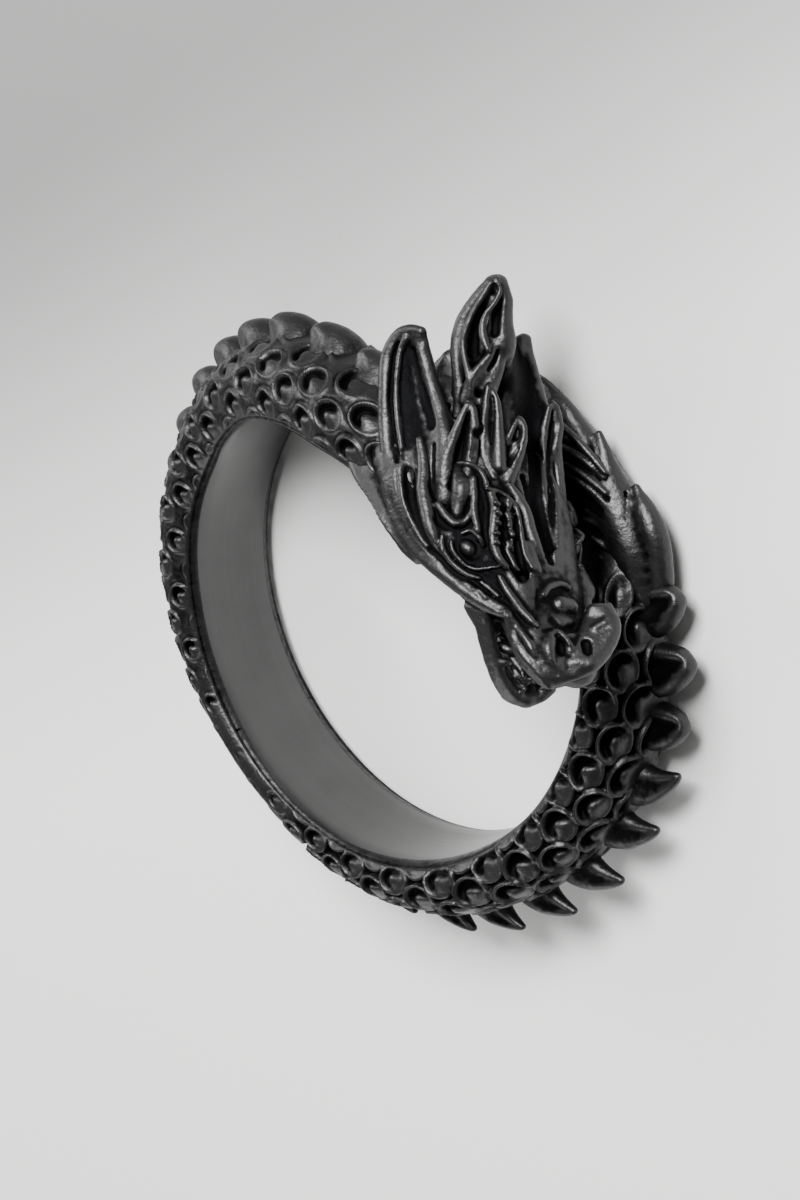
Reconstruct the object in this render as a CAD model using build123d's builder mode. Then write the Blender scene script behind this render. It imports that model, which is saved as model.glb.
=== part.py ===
"""Dragon ring: one casting of a scaled dragon that coils round the finger.

Millimetres. The origin is the centre of the finger bore, +Z is the bore's axis and points to the
side that the head stands on. Angles run round +Z from +X, in degrees. The ring lies on its -Z side.
"""

from build123d import *
from build123d.topology import SkipClean
from math import cos, sin, radians, pi
import os

# Finger bore and band
BORE_RADIUS = 9.9
BORE_EDGE = 2.0          # half the straight width of the bore wall
BORE_STOCK = 0.35        # metal inside the bore's radius that the bore then takes off
HIGH_WALL = (10.0, 145.0)    # angles between which the bore's wall stands high, under the head and neck
BACK_RADIUS = 12.75      # crown of the body between two spines
NEAR_FLANK = 2.75        # widest point of the flank on the head's side
FAR_FLANK = 2.75         # widest point of the flank on the side that it rests on
REST_PLANE = -3.0        # lowest points of body, tail and tuft
BODY_START = 72.0        # the neck, inside the head
BODY_END = 392.0         # the tail, inside the tuft

# Scales and back spines
SCALE_HEIGHT = 0.30
SCALE_PIT = 0.18         # how far a scale's root lies under the flank
SCALE_LEVEL = 0.75       # height where a scale has left its pit, as a share of its rim's
PIT_LENGTH = 0.48        # share of the pitch that the pit takes
SEAM_DEPTH = 0.3         # seam between two rows, as a share of the pit's depth
ROW_STAGGER = 0.5        # share of the pitch between the scales of two rows
STATION_PHASES = (0.0, 0.44, 0.5, 0.94)     # sections of a pitch, one before and one behind each rim
SCALE_PITCH = 9.6        # from the neck to the bottom of the ring
TAIL_PITCH = 11.3        # from there to the tail
PITCH_CHANGE = 245.0     # where the one follows the other
SPINE_HEIGHT = 1.6       # a full spine, above the crown
SPINE_HALF_WIDTH = 0.5
SPINE_BEND = 0.8         # power of the pitch that a spine rises by, below 1 for a bent back

# Head: its own frame runs forward, outward from the bore, and to the near side
HEAD_CENTRE = (7.85, 8.92, 3.2)
HEAD_TURN = -47.64       # heading of the head in the ring's plane
HEAD_LIFT = 18.0         # rise of the snout out of that plane
HEAD_LENGTH = 8.7        # from the centre to the nose
HEAD_HALF_WIDTH = 3.4
HEAD_HEIGHT = 2.1        # from the centre line to the forehead
JAW_DROP = 2.0           # from the centre line to the underside of the jaw
EYE_RADIUS = 0.72
NOSE_RADIUS = 0.62
NOSTRIL_RADIUS = 0.34
TOOTH_LENGTH = 0.9
TOOTH_THICKNESS = 0.3    # half thickness at the gum, as a share of its length
TOOTH_TIP = 0.2          # thickness of the tip as a share of the root's
TOOTH_SINK = 0.2         # how far a tooth starts inside the gum, as a share of its length

# Balls on both sides: shares of the head's length, height and half width
EYES = (0.31, 0.34, 0.80)
NOSE = (0.88, 0.84, 0.34)
NOSTRILS = (0.95, 0.92, 0.27)

# Horns, spikes, ears and cheek leaves, each from its root to its tip
HORN_LENGTH = 7.2
FAR_HORN_LENGTH = 5.0
EAR_LENGTH = 7.4
BROW_SPIKE_LENGTH = 4.4
CROWN_SPIKE_LENGTH = 3.9
FOREHEAD_LEAF_LENGTH = 2.9
CHEEK_LEAF_LENGTH = 6.4
NECK_LEAF_LENGTH = 4.4

# Tail tuft and saddle
TUFT_RADIUS = 14.25
TUFT_TOP = 0.1           # near face of the tuft above the middle plane
TUFT_BEVEL = 0.9
TUFT_SHOULDER = (0.4, 0.5)     # corner between side and near face, inwards and down, in bevels
TUFT_CREST = 1.4               # edge of the near face, inwards, in bevels
LEAF_HALF_WIDTH = 0.85
LEAF_KEEL = 1.3                # a leaf's sharp edges from its middle, in half thicknesses
SADDLE_RADIUS = 11.4
SADDLE_TOP = 5.4         # near face of the saddle above the middle plane
SADDLE_BEVEL = 0.5

# Body run: angle, shift of the middle plane as a share of the near flank, then shares of the near
# flank, the far flank, the wall, the scales' height, the spines' height and the near edge's reach
BODY_RUN = [
    (72, 1.30, 1.00, 0.75, 0.94, 0.60, 0.40, 1.25),
    (83, 1.26, 1.02, 0.80, 1.00, 0.85, 0.55, 1.30),
    (97, 1.02, 1.02, 0.86, 1.00, 1.00, 0.60, 1.30),
    (110, 0.74, 1.02, 0.94, 1.02, 1.00, 0.75, 1.28),
    (130, 0.26, 1.00, 1.00, 1.02, 1.00, 0.90, 1.15),
    (148, 0.00, 0.98, 1.00, 0.98, 1.00, 1.10, 1.00),
    (168, 0.00, 0.96, 1.00, 0.93, 1.00, 0.95, 1.00),
    (188, 0.00, 0.92, 1.00, 0.85, 1.00, 0.90, 1.00),
    (208, 0.00, 0.92, 1.00, 0.70, 0.80, 0.80, 1.00),
    (222, 0.00, 0.92, 1.00, 0.58, 0.15, 0.20, 1.00),
    (240, 0.00, 0.92, 1.00, 0.58, 0.30, 0.30, 1.00),
    (256, 0.00, 0.92, 1.00, 0.74, 1.00, 0.55, 1.00),
    (275, 0.00, 0.98, 1.00, 0.84, 1.00, 0.60, 1.00),
    (295, 0.00, 1.00, 1.00, 0.94, 1.00, 0.70, 1.00),
    (312, -0.20, 0.98, 0.84, 1.00, 1.05, 0.80, 1.00),
    (326, -0.34, 0.96, 0.72, 1.00, 1.10, 0.95, 1.00),
    (345, -0.47, 0.92, 0.58, 1.00, 1.10, 1.00, 1.00),
    (362, -0.58, 0.88, 0.47, 1.00, 1.10, 1.00, 1.00),
    (380, -0.61, 0.78, 0.45, 1.00, 0.90, 1.00, 1.00),
    (392, -0.61, 0.66, 0.42, 1.00, 0.30, 0.30, 1.00),
]

# Flank outline from the bore's edge to the spine: shares of the flank and of the wall, for the
# seams between two rows of scales and for the crest of each row
FLANK_SEAMS = [(0.74, 0.07), (0.96, 0.30), (0.93, 0.62), (0.66, 0.87)]
FLANK_CRESTS = [(0.88, 0.18), (1.00, 0.46), (0.83, 0.77), (0.42, 0.96)]
SECTION_CORE = 0.42      # share of the wall that the scales stand away from
EDGE_REACH = 0.46        # share of the wall up to which the near edge's reach counts

# Side of a section of the head: shares of its height and half width
HEAD_SIDE = [(0.0, 0.45), (0.12, 0.86), (0.42, 1.0), (0.80, 0.80), (1.0, 0.36)]

# Skull and upper jaw: forward share of the head's length, shares of its height for the underside
# and the top, share of its half width, and lean to the near side as a share of the half width
SKULL = [
    (-0.50, -1.75, 0.72, 0.84, 0.30),
    (-0.28, -1.45, 0.94, 0.98, 0.24),
    (0.00, -1.12, 1.02, 1.05, 0.12),
    (0.22, -0.95, 1.02, 1.00, 0.06),
    (0.40, -0.80, 0.96, 0.84, 0.00),
    (0.54, -0.20, 0.84, 0.66, 0.00),
    (0.70, 0.05, 0.92, 0.58, 0.00),
    (0.86, 0.16, 1.02, 0.62, 0.00),
    (0.95, 0.26, 0.94, 0.54, 0.00),
    (1.00, 0.40, 0.72, 0.34, 0.00),
]

# Lower jaw: forward share, shares of the jaw's drop for its underside and its upper edge, and
# share of the head's half width
JAW = [
    (0.28, -0.98, -0.10, 0.80),
    (0.46, -0.95, -0.35, 0.62),
    (0.62, -1.02, -0.55, 0.46),
    (0.80, -1.12, -0.66, 0.38),
    (0.93, -1.06, -0.55, 0.30),
    (0.99, -0.82, -0.52, 0.16),
]

# Bars on the head: forward share of its length, outward share of its height, near share of its
# half width, then thickness and width as shares of its height
BROW = [
    (-0.07, 0.62, 0.84, 0.17, 0.14),
    (0.11, 0.92, 0.68, 0.22, 0.20),
    (0.30, 1.00, 0.46, 0.20, 0.19),
    (0.51, 0.80, 0.40, 0.12, 0.12),
]
LOWER_LID = [
    (0.17, 0.10, 0.96, 0.12, 0.12),
    (0.30, -0.22, 0.93, 0.14, 0.14),
    (0.46, 0.02, 0.80, 0.13, 0.13),
    (0.62, 0.42, 0.62, 0.10, 0.12),
]
LIP = [
    (0.45, 0.30, 0.72, 0.10, 0.12),
    (0.62, 0.50, 0.64, 0.13, 0.13),
    (0.83, 0.42, 0.60, 0.14, 0.14),
    (0.93, 0.62, 0.42, 0.10, 0.10),
]
TONGUE = [
    (0.40, -0.28, 0.00, 0.21, 0.52),
    (0.66, -0.40, 0.00, 0.20, 0.43),
    (0.88, -0.34, 0.00, 0.10, 0.24),
]

# Teeth: forward share of the head's length, near share of its half width, share of a full tooth
UPPER_TEETH = [(0.95, 0.40, 1.00), (0.84, 0.50, 0.60), (0.74, 0.50, 0.60), (0.64, 0.54, 0.60)]
LOWER_TEETH = [(0.90, 0.24, 0.80), (0.78, 0.32, 0.55), (0.68, 0.38, 0.55), (0.58, 0.44, 0.55)]
UPPER_GUM = 0.35         # share of the head's height
LOWER_GUM = -0.72        # share of the jaw's drop

# Roots on the head: shares of its length, height and half width
HORN_ROOT = (-0.07, 0.57, 0.35)
FAR_HORN_ROOT = (-0.07, 0.24, -0.28)
EAR_ROOT = (0.05, -0.71, 1.02)
BROW_SPIKE_ROOT = (0.14, 0.43, 0.86)
CROWN_SPIKE_ROOT = (0.03, 0.76, 0.36)
FOREHEAD_LEAF_ROOT = (0.07, 0.81, 0.22)
CHEEK_LEAF_ROOT = (0.28, -0.52, 0.92)
NECK_LEAF_ROOT = (0.28, -0.19, 0.92)

# What grows from a root: back, outward and near of the root, then thickness and width, all as
# shares of its own length
HORN = [
    (0.00, 0.00, 0.00, 0.11, 0.12),
    (0.27, 0.14, 0.02, 0.16, 0.14),
    (0.56, 0.27, 0.03, 0.18, 0.15),
    (0.76, 0.39, 0.00, 0.13, 0.11),
    (0.88, 0.47, -0.04, 0.04, 0.04),
]
EAR = [
    (0.00, 0.00, 0.00, 0.06, 0.08),
    (0.24, 0.12, 0.02, 0.17, 0.07),
    (0.54, 0.27, 0.00, 0.19, 0.06),
    (0.76, 0.40, -0.04, 0.14, 0.04),
    (0.86, 0.48, -0.06, 0.05, 0.02),
]
SPIKE = [
    (0.00, 0.00, 0.00, 0.08, 0.09),
    (0.40, 0.22, -0.06, 0.11, 0.10),
    (0.74, 0.36, -0.11, 0.08, 0.07),
    (0.92, 0.42, -0.14, 0.03, 0.03),
]
LEAF = [
    (0.00, 0.00, 0.00, 0.08, 0.06),
    (0.45, -0.14, 0.08, 0.12, 0.07),
    (0.78, -0.27, 0.08, 0.08, 0.05),
    (0.96, -0.38, 0.08, 0.02, 0.02),
]

# Saddle under the head, up to the neck: angle, then shares of its near height for the near face and
# for the underside, which rises past the tuft
SADDLE = [
    (-8, -0.10, -0.46),
    (8, 0.02, -0.46),
    (20, 0.42, -0.46),
    (32, 0.74, -0.46),
    (46, 0.96, -0.46),
    (62, 1.00, -0.46),
    (70, 1.00, -0.22),
    (78, 0.98, 0.18),
    (92, 0.88, 0.26),
]

# Tail tuft: angle, shares of its wall for the inner and outer face, near face as a share of the
# rest plane's depth
TUFT = [
    (14, 0.05, 0.64, 0.00),
    (23, 0.05, 0.88, 0.00),
    (34, 0.05, 0.87, 0.02),
    (48, 0.05, 0.74, 0.06),
    (60, 0.05, 0.62, 0.12),
    (70, 0.10, 0.52, 0.34),
]

# Tuft leaves: angles of the root and the tip, radius of the tip as a share of the tuft's wall,
# height of the middle as a share of the rest plane's depth
TUFT_LEAVES = [
    (24, 39, 0.97, 0.58),
    (30, 50, 0.87, 0.56),
    (38, 60, 0.76, 0.56),
    (50, 71, 0.72, 0.60),
]
# A leaf along its run: share of the run, share of the half width, share of the tip's radius
LEAF_RUN = [(0.00, 0.50, 0.55), (0.45, 1.00, 0.80), (0.80, 0.70, 0.93), (1.00, 0.12, 1.00)]


def between(table, place):
    """A row of the table at a place between two of its rows, in straight runs."""
    for low, high in zip(table, table[1:]):
        if place <= high[0]:
            share = max(0.0, (place - low[0]) / (high[0] - low[0]))
            return [a + (b - a) * share for a, b in zip(low, high)]
    return list(table[-1])


def ring_point(angle, radius, height):
    turn = radians(angle)
    return Vector(radius * cos(turn), radius * sin(turn), height)


def skin(rings):
    """A closed solid of triangles over rings of points, with its two ends closed."""
    faces = []

    def triangle(a, b, c):
        faces.append(Face(Wire.make_polygon([a, b, c], close=True)))

    count = len(rings[0])
    for ring, following in zip(rings, rings[1:]):
        for i in range(count):
            j = (i + 1) % count
            triangle(ring[i], ring[j], following[j])
            triangle(ring[i], following[j], following[i])
    for ring in (rings[0], rings[-1]):
        middle = sum(ring, Vector(0, 0, 0)) / count
        for i in range(count):
            triangle(ring[i], ring[(i + 1) % count], middle)
    return Solid(Shell(faces))


def scale_lift(phase):
    """Height of a scale along its pitch: out of the pit, level over its back half, then a rim."""
    out_of_pit = min(1.0, phase / PIT_LENGTH)
    top = SCALE_HEIGHT * (SCALE_LEVEL + (1 - SCALE_LEVEL) * phase)
    return out_of_pit * (top + SCALE_PIT) - SCALE_PIT


def flank_points(phase, wall, reach, relief, edge):
    """One flank from the bore to the spine, as places across and outward of the bore."""
    core = SECTION_CORE * wall

    def raised(across, out, lift):
        spread = 1 + (edge - 1) * max(0.0, 1 - out / EDGE_REACH)
        x = min(1.0, across * spread) * reach
        y = out * wall - core
        grow = 1 + lift * relief / (x * x + y * y) ** 0.5
        return x * grow, core + y * grow

    points = [(min(reach, edge * BORE_EDGE * reach / NEAR_FLANK), -BORE_STOCK)]
    for row, (seam, crest) in enumerate(zip(FLANK_SEAMS, FLANK_CRESTS)):
        place = (phase + ROW_STAGGER * (row % 2)) % 1.0
        points.append(raised(*seam, -SEAM_DEPTH * SCALE_PIT))
        points.append(raised(*crest, scale_lift(place)))
    points.append((SPINE_HALF_WIDTH, wall))
    return points


def body_section(angle, phase):
    """Points round the body at one angle; phase is the place along a pitch, from 0 to 1."""
    _, shift, near, far, wall_share, relief, spine, edge = between(BODY_RUN, angle)
    wall = (BACK_RADIUS - BORE_RADIUS) * wall_share
    middle = shift * NEAR_FLANK
    near_side = flank_points(phase, wall, NEAR_FLANK * near, relief, edge)
    far_side = flank_points(phase, wall, FAR_FLANK * far, relief, 1.0)
    outline = [(middle + x, y) for x, y in near_side]
    outline.append((middle, wall + SPINE_HEIGHT * spine * phase**SPINE_BEND))
    outline += [(max(REST_PLANE, middle - x), y) for x, y in reversed(far_side)]
    return [ring_point(angle, BORE_RADIUS + y, x) for x, y in outline]


def body_stations():
    """Angles and phases of the sections: each rim of a scale has one before and one behind it."""
    stations = []
    start = BODY_START
    while start < BODY_END:
        pitch = SCALE_PITCH if start < PITCH_CHANGE else TAIL_PITCH
        for phase in STATION_PHASES:
            stations.append((start + phase * pitch, phase))
        start += pitch
    return stations


def body():
    return [skin([body_section(angle, phase) for angle, phase in body_stations()])]


def head_plane(forward, outward=0.0, near=0.0):
    """A plane across the head: its x points outward and its y to the near side."""
    turn = radians(HEAD_TURN)
    lift = radians(HEAD_LIFT)
    ahead = Vector(cos(turn) * cos(lift), sin(turn) * cos(lift), sin(lift))
    outside = Vector(-sin(turn), cos(turn), 0)
    side = ahead.cross(outside)
    origin = Vector(*HEAD_CENTRE) + ahead * forward + outside * outward + side * near
    return Plane(origin=origin, x_dir=outside, z_dir=ahead)


def rounded_outline(low, high, half_width, lean=0.0):
    """Ten corners round a section that is widest at two fifths of its height."""
    height = high - low
    outline = [(low + height * up, lean + half_width * out) for up, out in HEAD_SIDE]
    outline += [(low + height * up, lean - half_width * out) for up, out in reversed(HEAD_SIDE)]
    return outline


def head_loft(sections):
    """A ruled loft across the head; each section is a forward place and its outline."""
    profiles = []
    for forward, outline in sections:
        with BuildSketch(head_plane(forward)) as profile:
            with BuildLine():
                Polyline(*outline, close=True)
            make_face()
        profiles.append(profile.sketch.face())
    return loft(profiles, ruled=True, mode=Mode.PRIVATE)


def bar(route, sides=6):
    """A tapered bar through places (forward, outward, near, thickness, width) of the head."""
    points = [head_plane(*row[:3]).origin for row in route]
    profiles = []
    for i, row in enumerate(route):
        before = points[max(i - 1, 0)]
        after = points[min(i + 1, len(points) - 1)]
        along = (after - before).normalized()
        across = along.cross(head_plane(0).x_dir).normalized()
        with BuildSketch(Plane(origin=points[i], x_dir=across, z_dir=along)) as profile:
            with BuildLine():
                turns = [2 * pi * (k + 0.5) / sides for k in range(sides)]
                Polyline(*[(row[4] * cos(t), row[3] * sin(t)) for t in turns], close=True)
            make_face()
        profiles.append(profile.sketch.face())
    return loft(profiles, ruled=True, mode=Mode.PRIVATE)


def on_both_sides(route):
    """The bar of a route and its mirror image on the head's far side."""
    return [bar(route), bar([(row[0], row[1], -row[2], *row[3:]) for row in route])]


def head_route(table):
    """Places of a bar whose table holds shares of the head."""
    thick = HEAD_HEIGHT
    route = []
    for ahead, out, near, thickness, width in table:
        place = (HEAD_LENGTH * ahead, HEAD_HEIGHT * out, HEAD_HALF_WIDTH * near)
        route.append((*place, thick * thickness, thick * width))
    return route


def grown_route(root, length, table, near_sign=1):
    """Places of a horn or leaf that grows back from its root to its own length."""
    forward = HEAD_LENGTH * root[0]
    outward = HEAD_HEIGHT * root[1]
    near = HEAD_HALF_WIDTH * root[2]
    route = []
    for back, out, side, thickness, width in table:
        place = (forward - back * length, outward + out * length, near + near_sign * side * length)
        route.append((*place, thickness * length, width * length))
    return route


def skull():
    sections = []
    for share, low, high, wide, lean in SKULL:
        outline = rounded_outline(
            HEAD_HEIGHT * low, HEAD_HEIGHT * high, HEAD_HALF_WIDTH * wide, HEAD_HALF_WIDTH * lean
        )
        sections.append((HEAD_LENGTH * share, outline))
    return [head_loft(sections)]


def lower_jaw():
    sections = []
    for share, low, high, wide in JAW:
        outline = rounded_outline(JAW_DROP * low, JAW_DROP * high, HEAD_HALF_WIDTH * wide)
        sections.append((HEAD_LENGTH * share, outline))
    return [head_loft(sections)]


def teeth(table, gum, direction):
    """A row of teeth on each side, from the gum's height up or down."""
    made = []
    for share, out, size in table:
        forward = share * HEAD_LENGTH
        near = out * HEAD_HALF_WIDTH
        length = size * TOOTH_LENGTH
        thick = TOOTH_THICKNESS * TOOTH_LENGTH
        tip = TOOTH_TIP * thick
        made += on_both_sides([
            (forward, gum - TOOTH_SINK * direction * length, near, thick, thick),
            (forward, gum + direction * length, near, tip, tip),
        ])
    return made


def mouth():
    tongue = [bar(head_route(TONGUE))]
    upper = teeth(UPPER_TEETH, UPPER_GUM * HEAD_HEIGHT, -1)
    lower = teeth(LOWER_TEETH, LOWER_GUM * JAW_DROP, 1)
    return tongue + upper + lower


def brows_and_lips():
    return [made for table in (BROW, LOWER_LID, LIP) for made in on_both_sides(head_route(table))]


def balls(place, radius):
    """A ball on each side of the head; the place holds shares of the head."""
    forward = HEAD_LENGTH * place[0]
    outward = HEAD_HEIGHT * place[1]
    near = HEAD_HALF_WIDTH * place[2]
    return [
        head_plane(forward, outward, side * near).location * Sphere(radius, mode=Mode.PRIVATE)
        for side in (-1, 1)
    ]


def horns_and_ears():
    made = [
        bar(grown_route(HORN_ROOT, HORN_LENGTH, HORN)),
        bar(grown_route(FAR_HORN_ROOT, FAR_HORN_LENGTH, HORN, near_sign=-1)),
        bar(grown_route(FOREHEAD_LEAF_ROOT, FOREHEAD_LEAF_LENGTH, SPIKE)),
        bar(grown_route(EAR_ROOT, EAR_LENGTH, EAR)),
        bar(grown_route(CROWN_SPIKE_ROOT, CROWN_SPIKE_LENGTH, SPIKE)),
    ]
    made += on_both_sides(grown_route(BROW_SPIKE_ROOT, BROW_SPIKE_LENGTH, SPIKE))
    return made


def cheek_leaves():
    """Leaves that lie back from the jaw over the neck."""
    made = on_both_sides(grown_route(CHEEK_LEAF_ROOT, CHEEK_LEAF_LENGTH, LEAF))
    made += on_both_sides(grown_route(NECK_LEAF_ROOT, NECK_LEAF_LENGTH, LEAF))
    return made


def saddle():
    """The bore wall under the head and the tuft, as one plain run."""
    rings = []
    inner = BORE_RADIUS - BORE_STOCK
    for angle, near_share, under_share in SADDLE:
        top = SADDLE_TOP * near_share
        low = SADDLE_TOP * under_share
        corners = [
            (inner, low),
            (SADDLE_RADIUS, low),
            (SADDLE_RADIUS, top - SADDLE_BEVEL),
            (SADDLE_RADIUS - SADDLE_BEVEL, top),
            (inner, top),
        ]
        rings.append([ring_point(angle, radius, height) for radius, height in corners])
    return [skin(rings)]


def tuft():
    """The tail's end: a flat bundle that parts into leaves."""
    wall = TUFT_RADIUS - BORE_RADIUS
    rings = []
    for angle, inner_share, outer_share, down in TUFT:
        inner = BORE_RADIUS + wall * inner_share
        outer = BORE_RADIUS + wall * outer_share
        high = TUFT_TOP + (REST_PLANE - TUFT_TOP) * down
        corners = [
            (inner, REST_PLANE),
            (outer - TUFT_BEVEL, REST_PLANE),
            (outer, (REST_PLANE + high) / 2),
            (outer - TUFT_SHOULDER[0] * TUFT_BEVEL, high - TUFT_SHOULDER[1] * TUFT_BEVEL),
            (outer - TUFT_CREST * TUFT_BEVEL, high),
            (inner, high),
        ]
        rings.append([ring_point(angle, radius, height) for radius, height in corners])
    return [skin(rings)]


def tuft_leaves():
    wall = TUFT_RADIUS - BORE_RADIUS
    made = []
    for root, tip, reach, down in TUFT_LEAVES:
        rings = []
        for step, thickness, out in LEAF_RUN:
            angle = root + (tip - root) * step
            radius = BORE_RADIUS + wall * reach * out
            half = LEAF_HALF_WIDTH * thickness
            edge = LEAF_KEEL * half
            corners = [(-half, -half), (0, -edge), (half, -half), (half, half), (0, edge), (-half, half)]
            middle = REST_PLANE * down
            rings.append([
                ring_point(angle, radius + x, max(REST_PLANE, middle + y)) for x, y in corners
            ])
        made.append(skin(rings))
    return made


def bore_run(start, end):
    """The finger bore between two angles: its high and its low wall are a face each."""
    with BuildPart() as run:
        with BuildSketch(Plane.XY.offset(-HEAD_LENGTH)):
            with BuildLine():
                Polyline(ring_point(end, BORE_RADIUS, 0), (0, 0), ring_point(start, BORE_RADIUS, 0))
                CenterArc((0, 0), BORE_RADIUS, start, end - start)
            make_face()
        extrude(amount=3 * HEAD_LENGTH)
    return run.part


with BuildPart() as dragon_ring:
    add(skull() + lower_jaw() + mouth() + brows_and_lips(), clean=False)
    add(balls(EYES, EYE_RADIUS) + balls(NOSE, NOSE_RADIUS), clean=False)
    add(balls(NOSTRILS, NOSTRIL_RADIUS), mode=Mode.SUBTRACT, clean=False)
    add(horns_and_ears() + cheek_leaves() + saddle() + tuft() + tuft_leaves(), clean=False)
    add(body())
    with SkipClean():
        for start, end in (HIGH_WALL, (HIGH_WALL[1], HIGH_WALL[0] + 360)):
            add(bore_run(start, end), mode=Mode.SUBTRACT, clean=False)
dragon_ring.part.label = "dragon_ring"

os.makedirs("parts", exist_ok=True)
export_step(dragon_ring.part, "parts/dragon_ring.step")
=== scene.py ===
"""Dragon ring in dark plated metal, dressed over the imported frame.

Tables and sculpting are in millimetres and degrees; Blender's meshes are in metres. The ring's own
frame has its origin in the middle of the finger bore and +Z along the bore, towards the head's side.
The head has a frame of its own: forward to the nose, up away from the bore, and near to +Z.
"""

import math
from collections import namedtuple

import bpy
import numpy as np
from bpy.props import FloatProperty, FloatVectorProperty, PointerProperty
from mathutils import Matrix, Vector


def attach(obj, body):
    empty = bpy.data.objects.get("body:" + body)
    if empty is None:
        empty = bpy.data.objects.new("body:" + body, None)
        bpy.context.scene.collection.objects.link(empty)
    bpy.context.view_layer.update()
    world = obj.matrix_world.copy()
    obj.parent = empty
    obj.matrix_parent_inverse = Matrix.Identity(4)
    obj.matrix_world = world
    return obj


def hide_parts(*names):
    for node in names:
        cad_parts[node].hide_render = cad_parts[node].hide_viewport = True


bl_info = {
    "name": "Dragon ring",
    "version": (1, 0, 0),
    "blender": (4, 5, 0),
    "location": "View3D > Sidebar > Dragon ring",
    "description": "Builds a cast dragon ring: scaled body, back spines, tail tuft and horned head",
    "category": "Object",
}

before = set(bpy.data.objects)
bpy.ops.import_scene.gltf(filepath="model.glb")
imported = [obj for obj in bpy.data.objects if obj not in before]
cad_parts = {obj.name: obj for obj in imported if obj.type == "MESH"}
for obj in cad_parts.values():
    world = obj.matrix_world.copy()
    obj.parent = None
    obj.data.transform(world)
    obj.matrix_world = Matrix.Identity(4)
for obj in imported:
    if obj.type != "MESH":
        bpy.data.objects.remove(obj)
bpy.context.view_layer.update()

MM = 0.001
CAD_NODE = "dragon_ring"
BODY = "root"

# Body run: angle, shift of the middle plane as a share of the flank, then shares: near flank, far flank,
# bore edge on the near side, wall, scale relief, groove between scales, half a scale along its pitch
Station = namedtuple("Station", "angle shift near far edge wall relief groove half")
BODY_RUN = [
    Station(58, 1.30, 1.00, 0.60, 0.95, 0.80, 1.0, 0.1, 0.24),
    Station(72, 1.30, 1.00, 0.72, 0.97, 0.92, 1.0, 0.1, 0.24),
    Station(83, 1.26, 1.02, 0.80, 0.99, 0.98, 1.0, 0.1, 0.24),
    Station(97, 1.02, 1.02, 0.86, 0.99, 1.00, 1.0, 0.1, 0.24),
    Station(110, 0.74, 1.02, 0.94, 0.97, 1.02, 1.0, 0.1, 0.24),
    Station(130, 0.26, 1.00, 1.00, 0.90, 1.02, 1.0, 0.1, 0.24),
    Station(148, 0.00, 0.98, 1.00, 0.80, 0.98, 1.0, 0.2, 0.23),
    Station(168, 0.00, 0.96, 1.00, 0.76, 0.93, 1.0, 0.2, 0.21),
    Station(188, 0.00, 0.92, 1.00, 0.72, 0.85, 1.0, 0.2, 0.20),
    Station(208, 0.00, 0.92, 1.00, 0.72, 0.70, 0.8, 0.2, 0.19),
    Station(222, 0.00, 0.92, 1.00, 0.75, 0.58, 0.1, 0.0, 0.19),
    Station(240, 0.00, 0.92, 1.00, 0.85, 0.58, 0.2, 0.1, 0.20),
    Station(256, 0.00, 0.92, 1.00, 0.88, 0.74, 1.0, 0.8, 0.24),
    Station(275, 0.00, 0.98, 1.00, 0.72, 0.84, 1.0, 1.0, 0.27),
    Station(295, 0.00, 1.00, 1.00, 0.56, 0.94, 1.0, 1.0, 0.28),
    Station(312, -0.20, 0.98, 0.84, 0.58, 1.00, 1.2, 1.0, 0.28),
    Station(326, -0.34, 0.96, 0.72, 0.60, 1.00, 1.3, 1.0, 0.28),
    Station(345, -0.47, 0.92, 0.58, 0.55, 1.00, 1.3, 1.0, 0.28),
    Station(362, -0.58, 0.88, 0.47, 0.50, 1.00, 1.3, 1.0, 0.28),
    Station(376, -0.60, 0.74, 0.45, 0.45, 1.00, 1.1, 0.9, 0.27),
    Station(384, -0.61, 0.50, 0.44, 0.42, 1.00, 0.1, 0.3, 0.27),
    Station(392, -0.61, 0.15, 0.42, 0.32, 1.00, 0.0, 0.0, 0.27),
]

# Angles of the scales in the even rows; those of the odd rows lie halfway between
SCALE_ANGLES = [
    57, 73, 88, 103, 120, 137, 149, 160.5, 173, 187, 200, 214, 228, 242, 256, 268, 281, 295.5, 310, 324, 338,
    352.5, 367, 381, 395,
]
# Along a full flank from the crown, in millimetres: the crown and each row of scales
ROW_PLACES = [0.0, 1.35, 2.30, 3.15, 4.05, 4.95]

# Back spines: angle of the root, height and breadth as shares of a full spine, and its shape
Spine = namedtuple("Spine", "angle height breadth shape")
LOBE, HOOK, SHELL = 0, 1, 2
SPINES = [
    Spine(69, 0.45, 0.9, LOBE), Spine(82.5, 0.60, 1.0, LOBE), Spine(96, 0.70, 1.05, LOBE),
    Spine(110, 0.78, 1.05, LOBE), Spine(123, 0.85, 1.05, LOBE), Spine(134.5, 1.00, 1.0, LOBE),
    Spine(146, 1.20, 0.95, LOBE), Spine(156.5, 1.20, 0.9, LOBE), Spine(165.5, 1.20, 0.8, LOBE),
    Spine(174.5, 1.15, 0.75, LOBE), Spine(184, 1.20, 0.75, LOBE), Spine(195.5, 1.25, 0.7, LOBE),
    Spine(206, 1.30, 0.7, LOBE),
    Spine(241, 0.75, 0.7, HOOK), Spine(250.5, 0.70, 0.75, HOOK), Spine(259.5, 0.70, 0.8, HOOK),
    Spine(270, 0.80, 0.9, HOOK), Spine(284, 0.85, 1.0, HOOK), Spine(296, 0.85, 1.0, HOOK),
    Spine(308, 0.95, 1.0, HOOK), Spine(320, 1.10, 1.05, HOOK), Spine(332.5, 1.10, 1.05, HOOK),
    Spine(343.5, 1.10, 1.05, HOOK), Spine(355, 1.20, 1.05, SHELL), Spine(366, 1.35, 1.1, SHELL),
    Spine(377, 1.25, 1.05, SHELL), Spine(387, 0.80, 0.9, SHELL),
]

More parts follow.
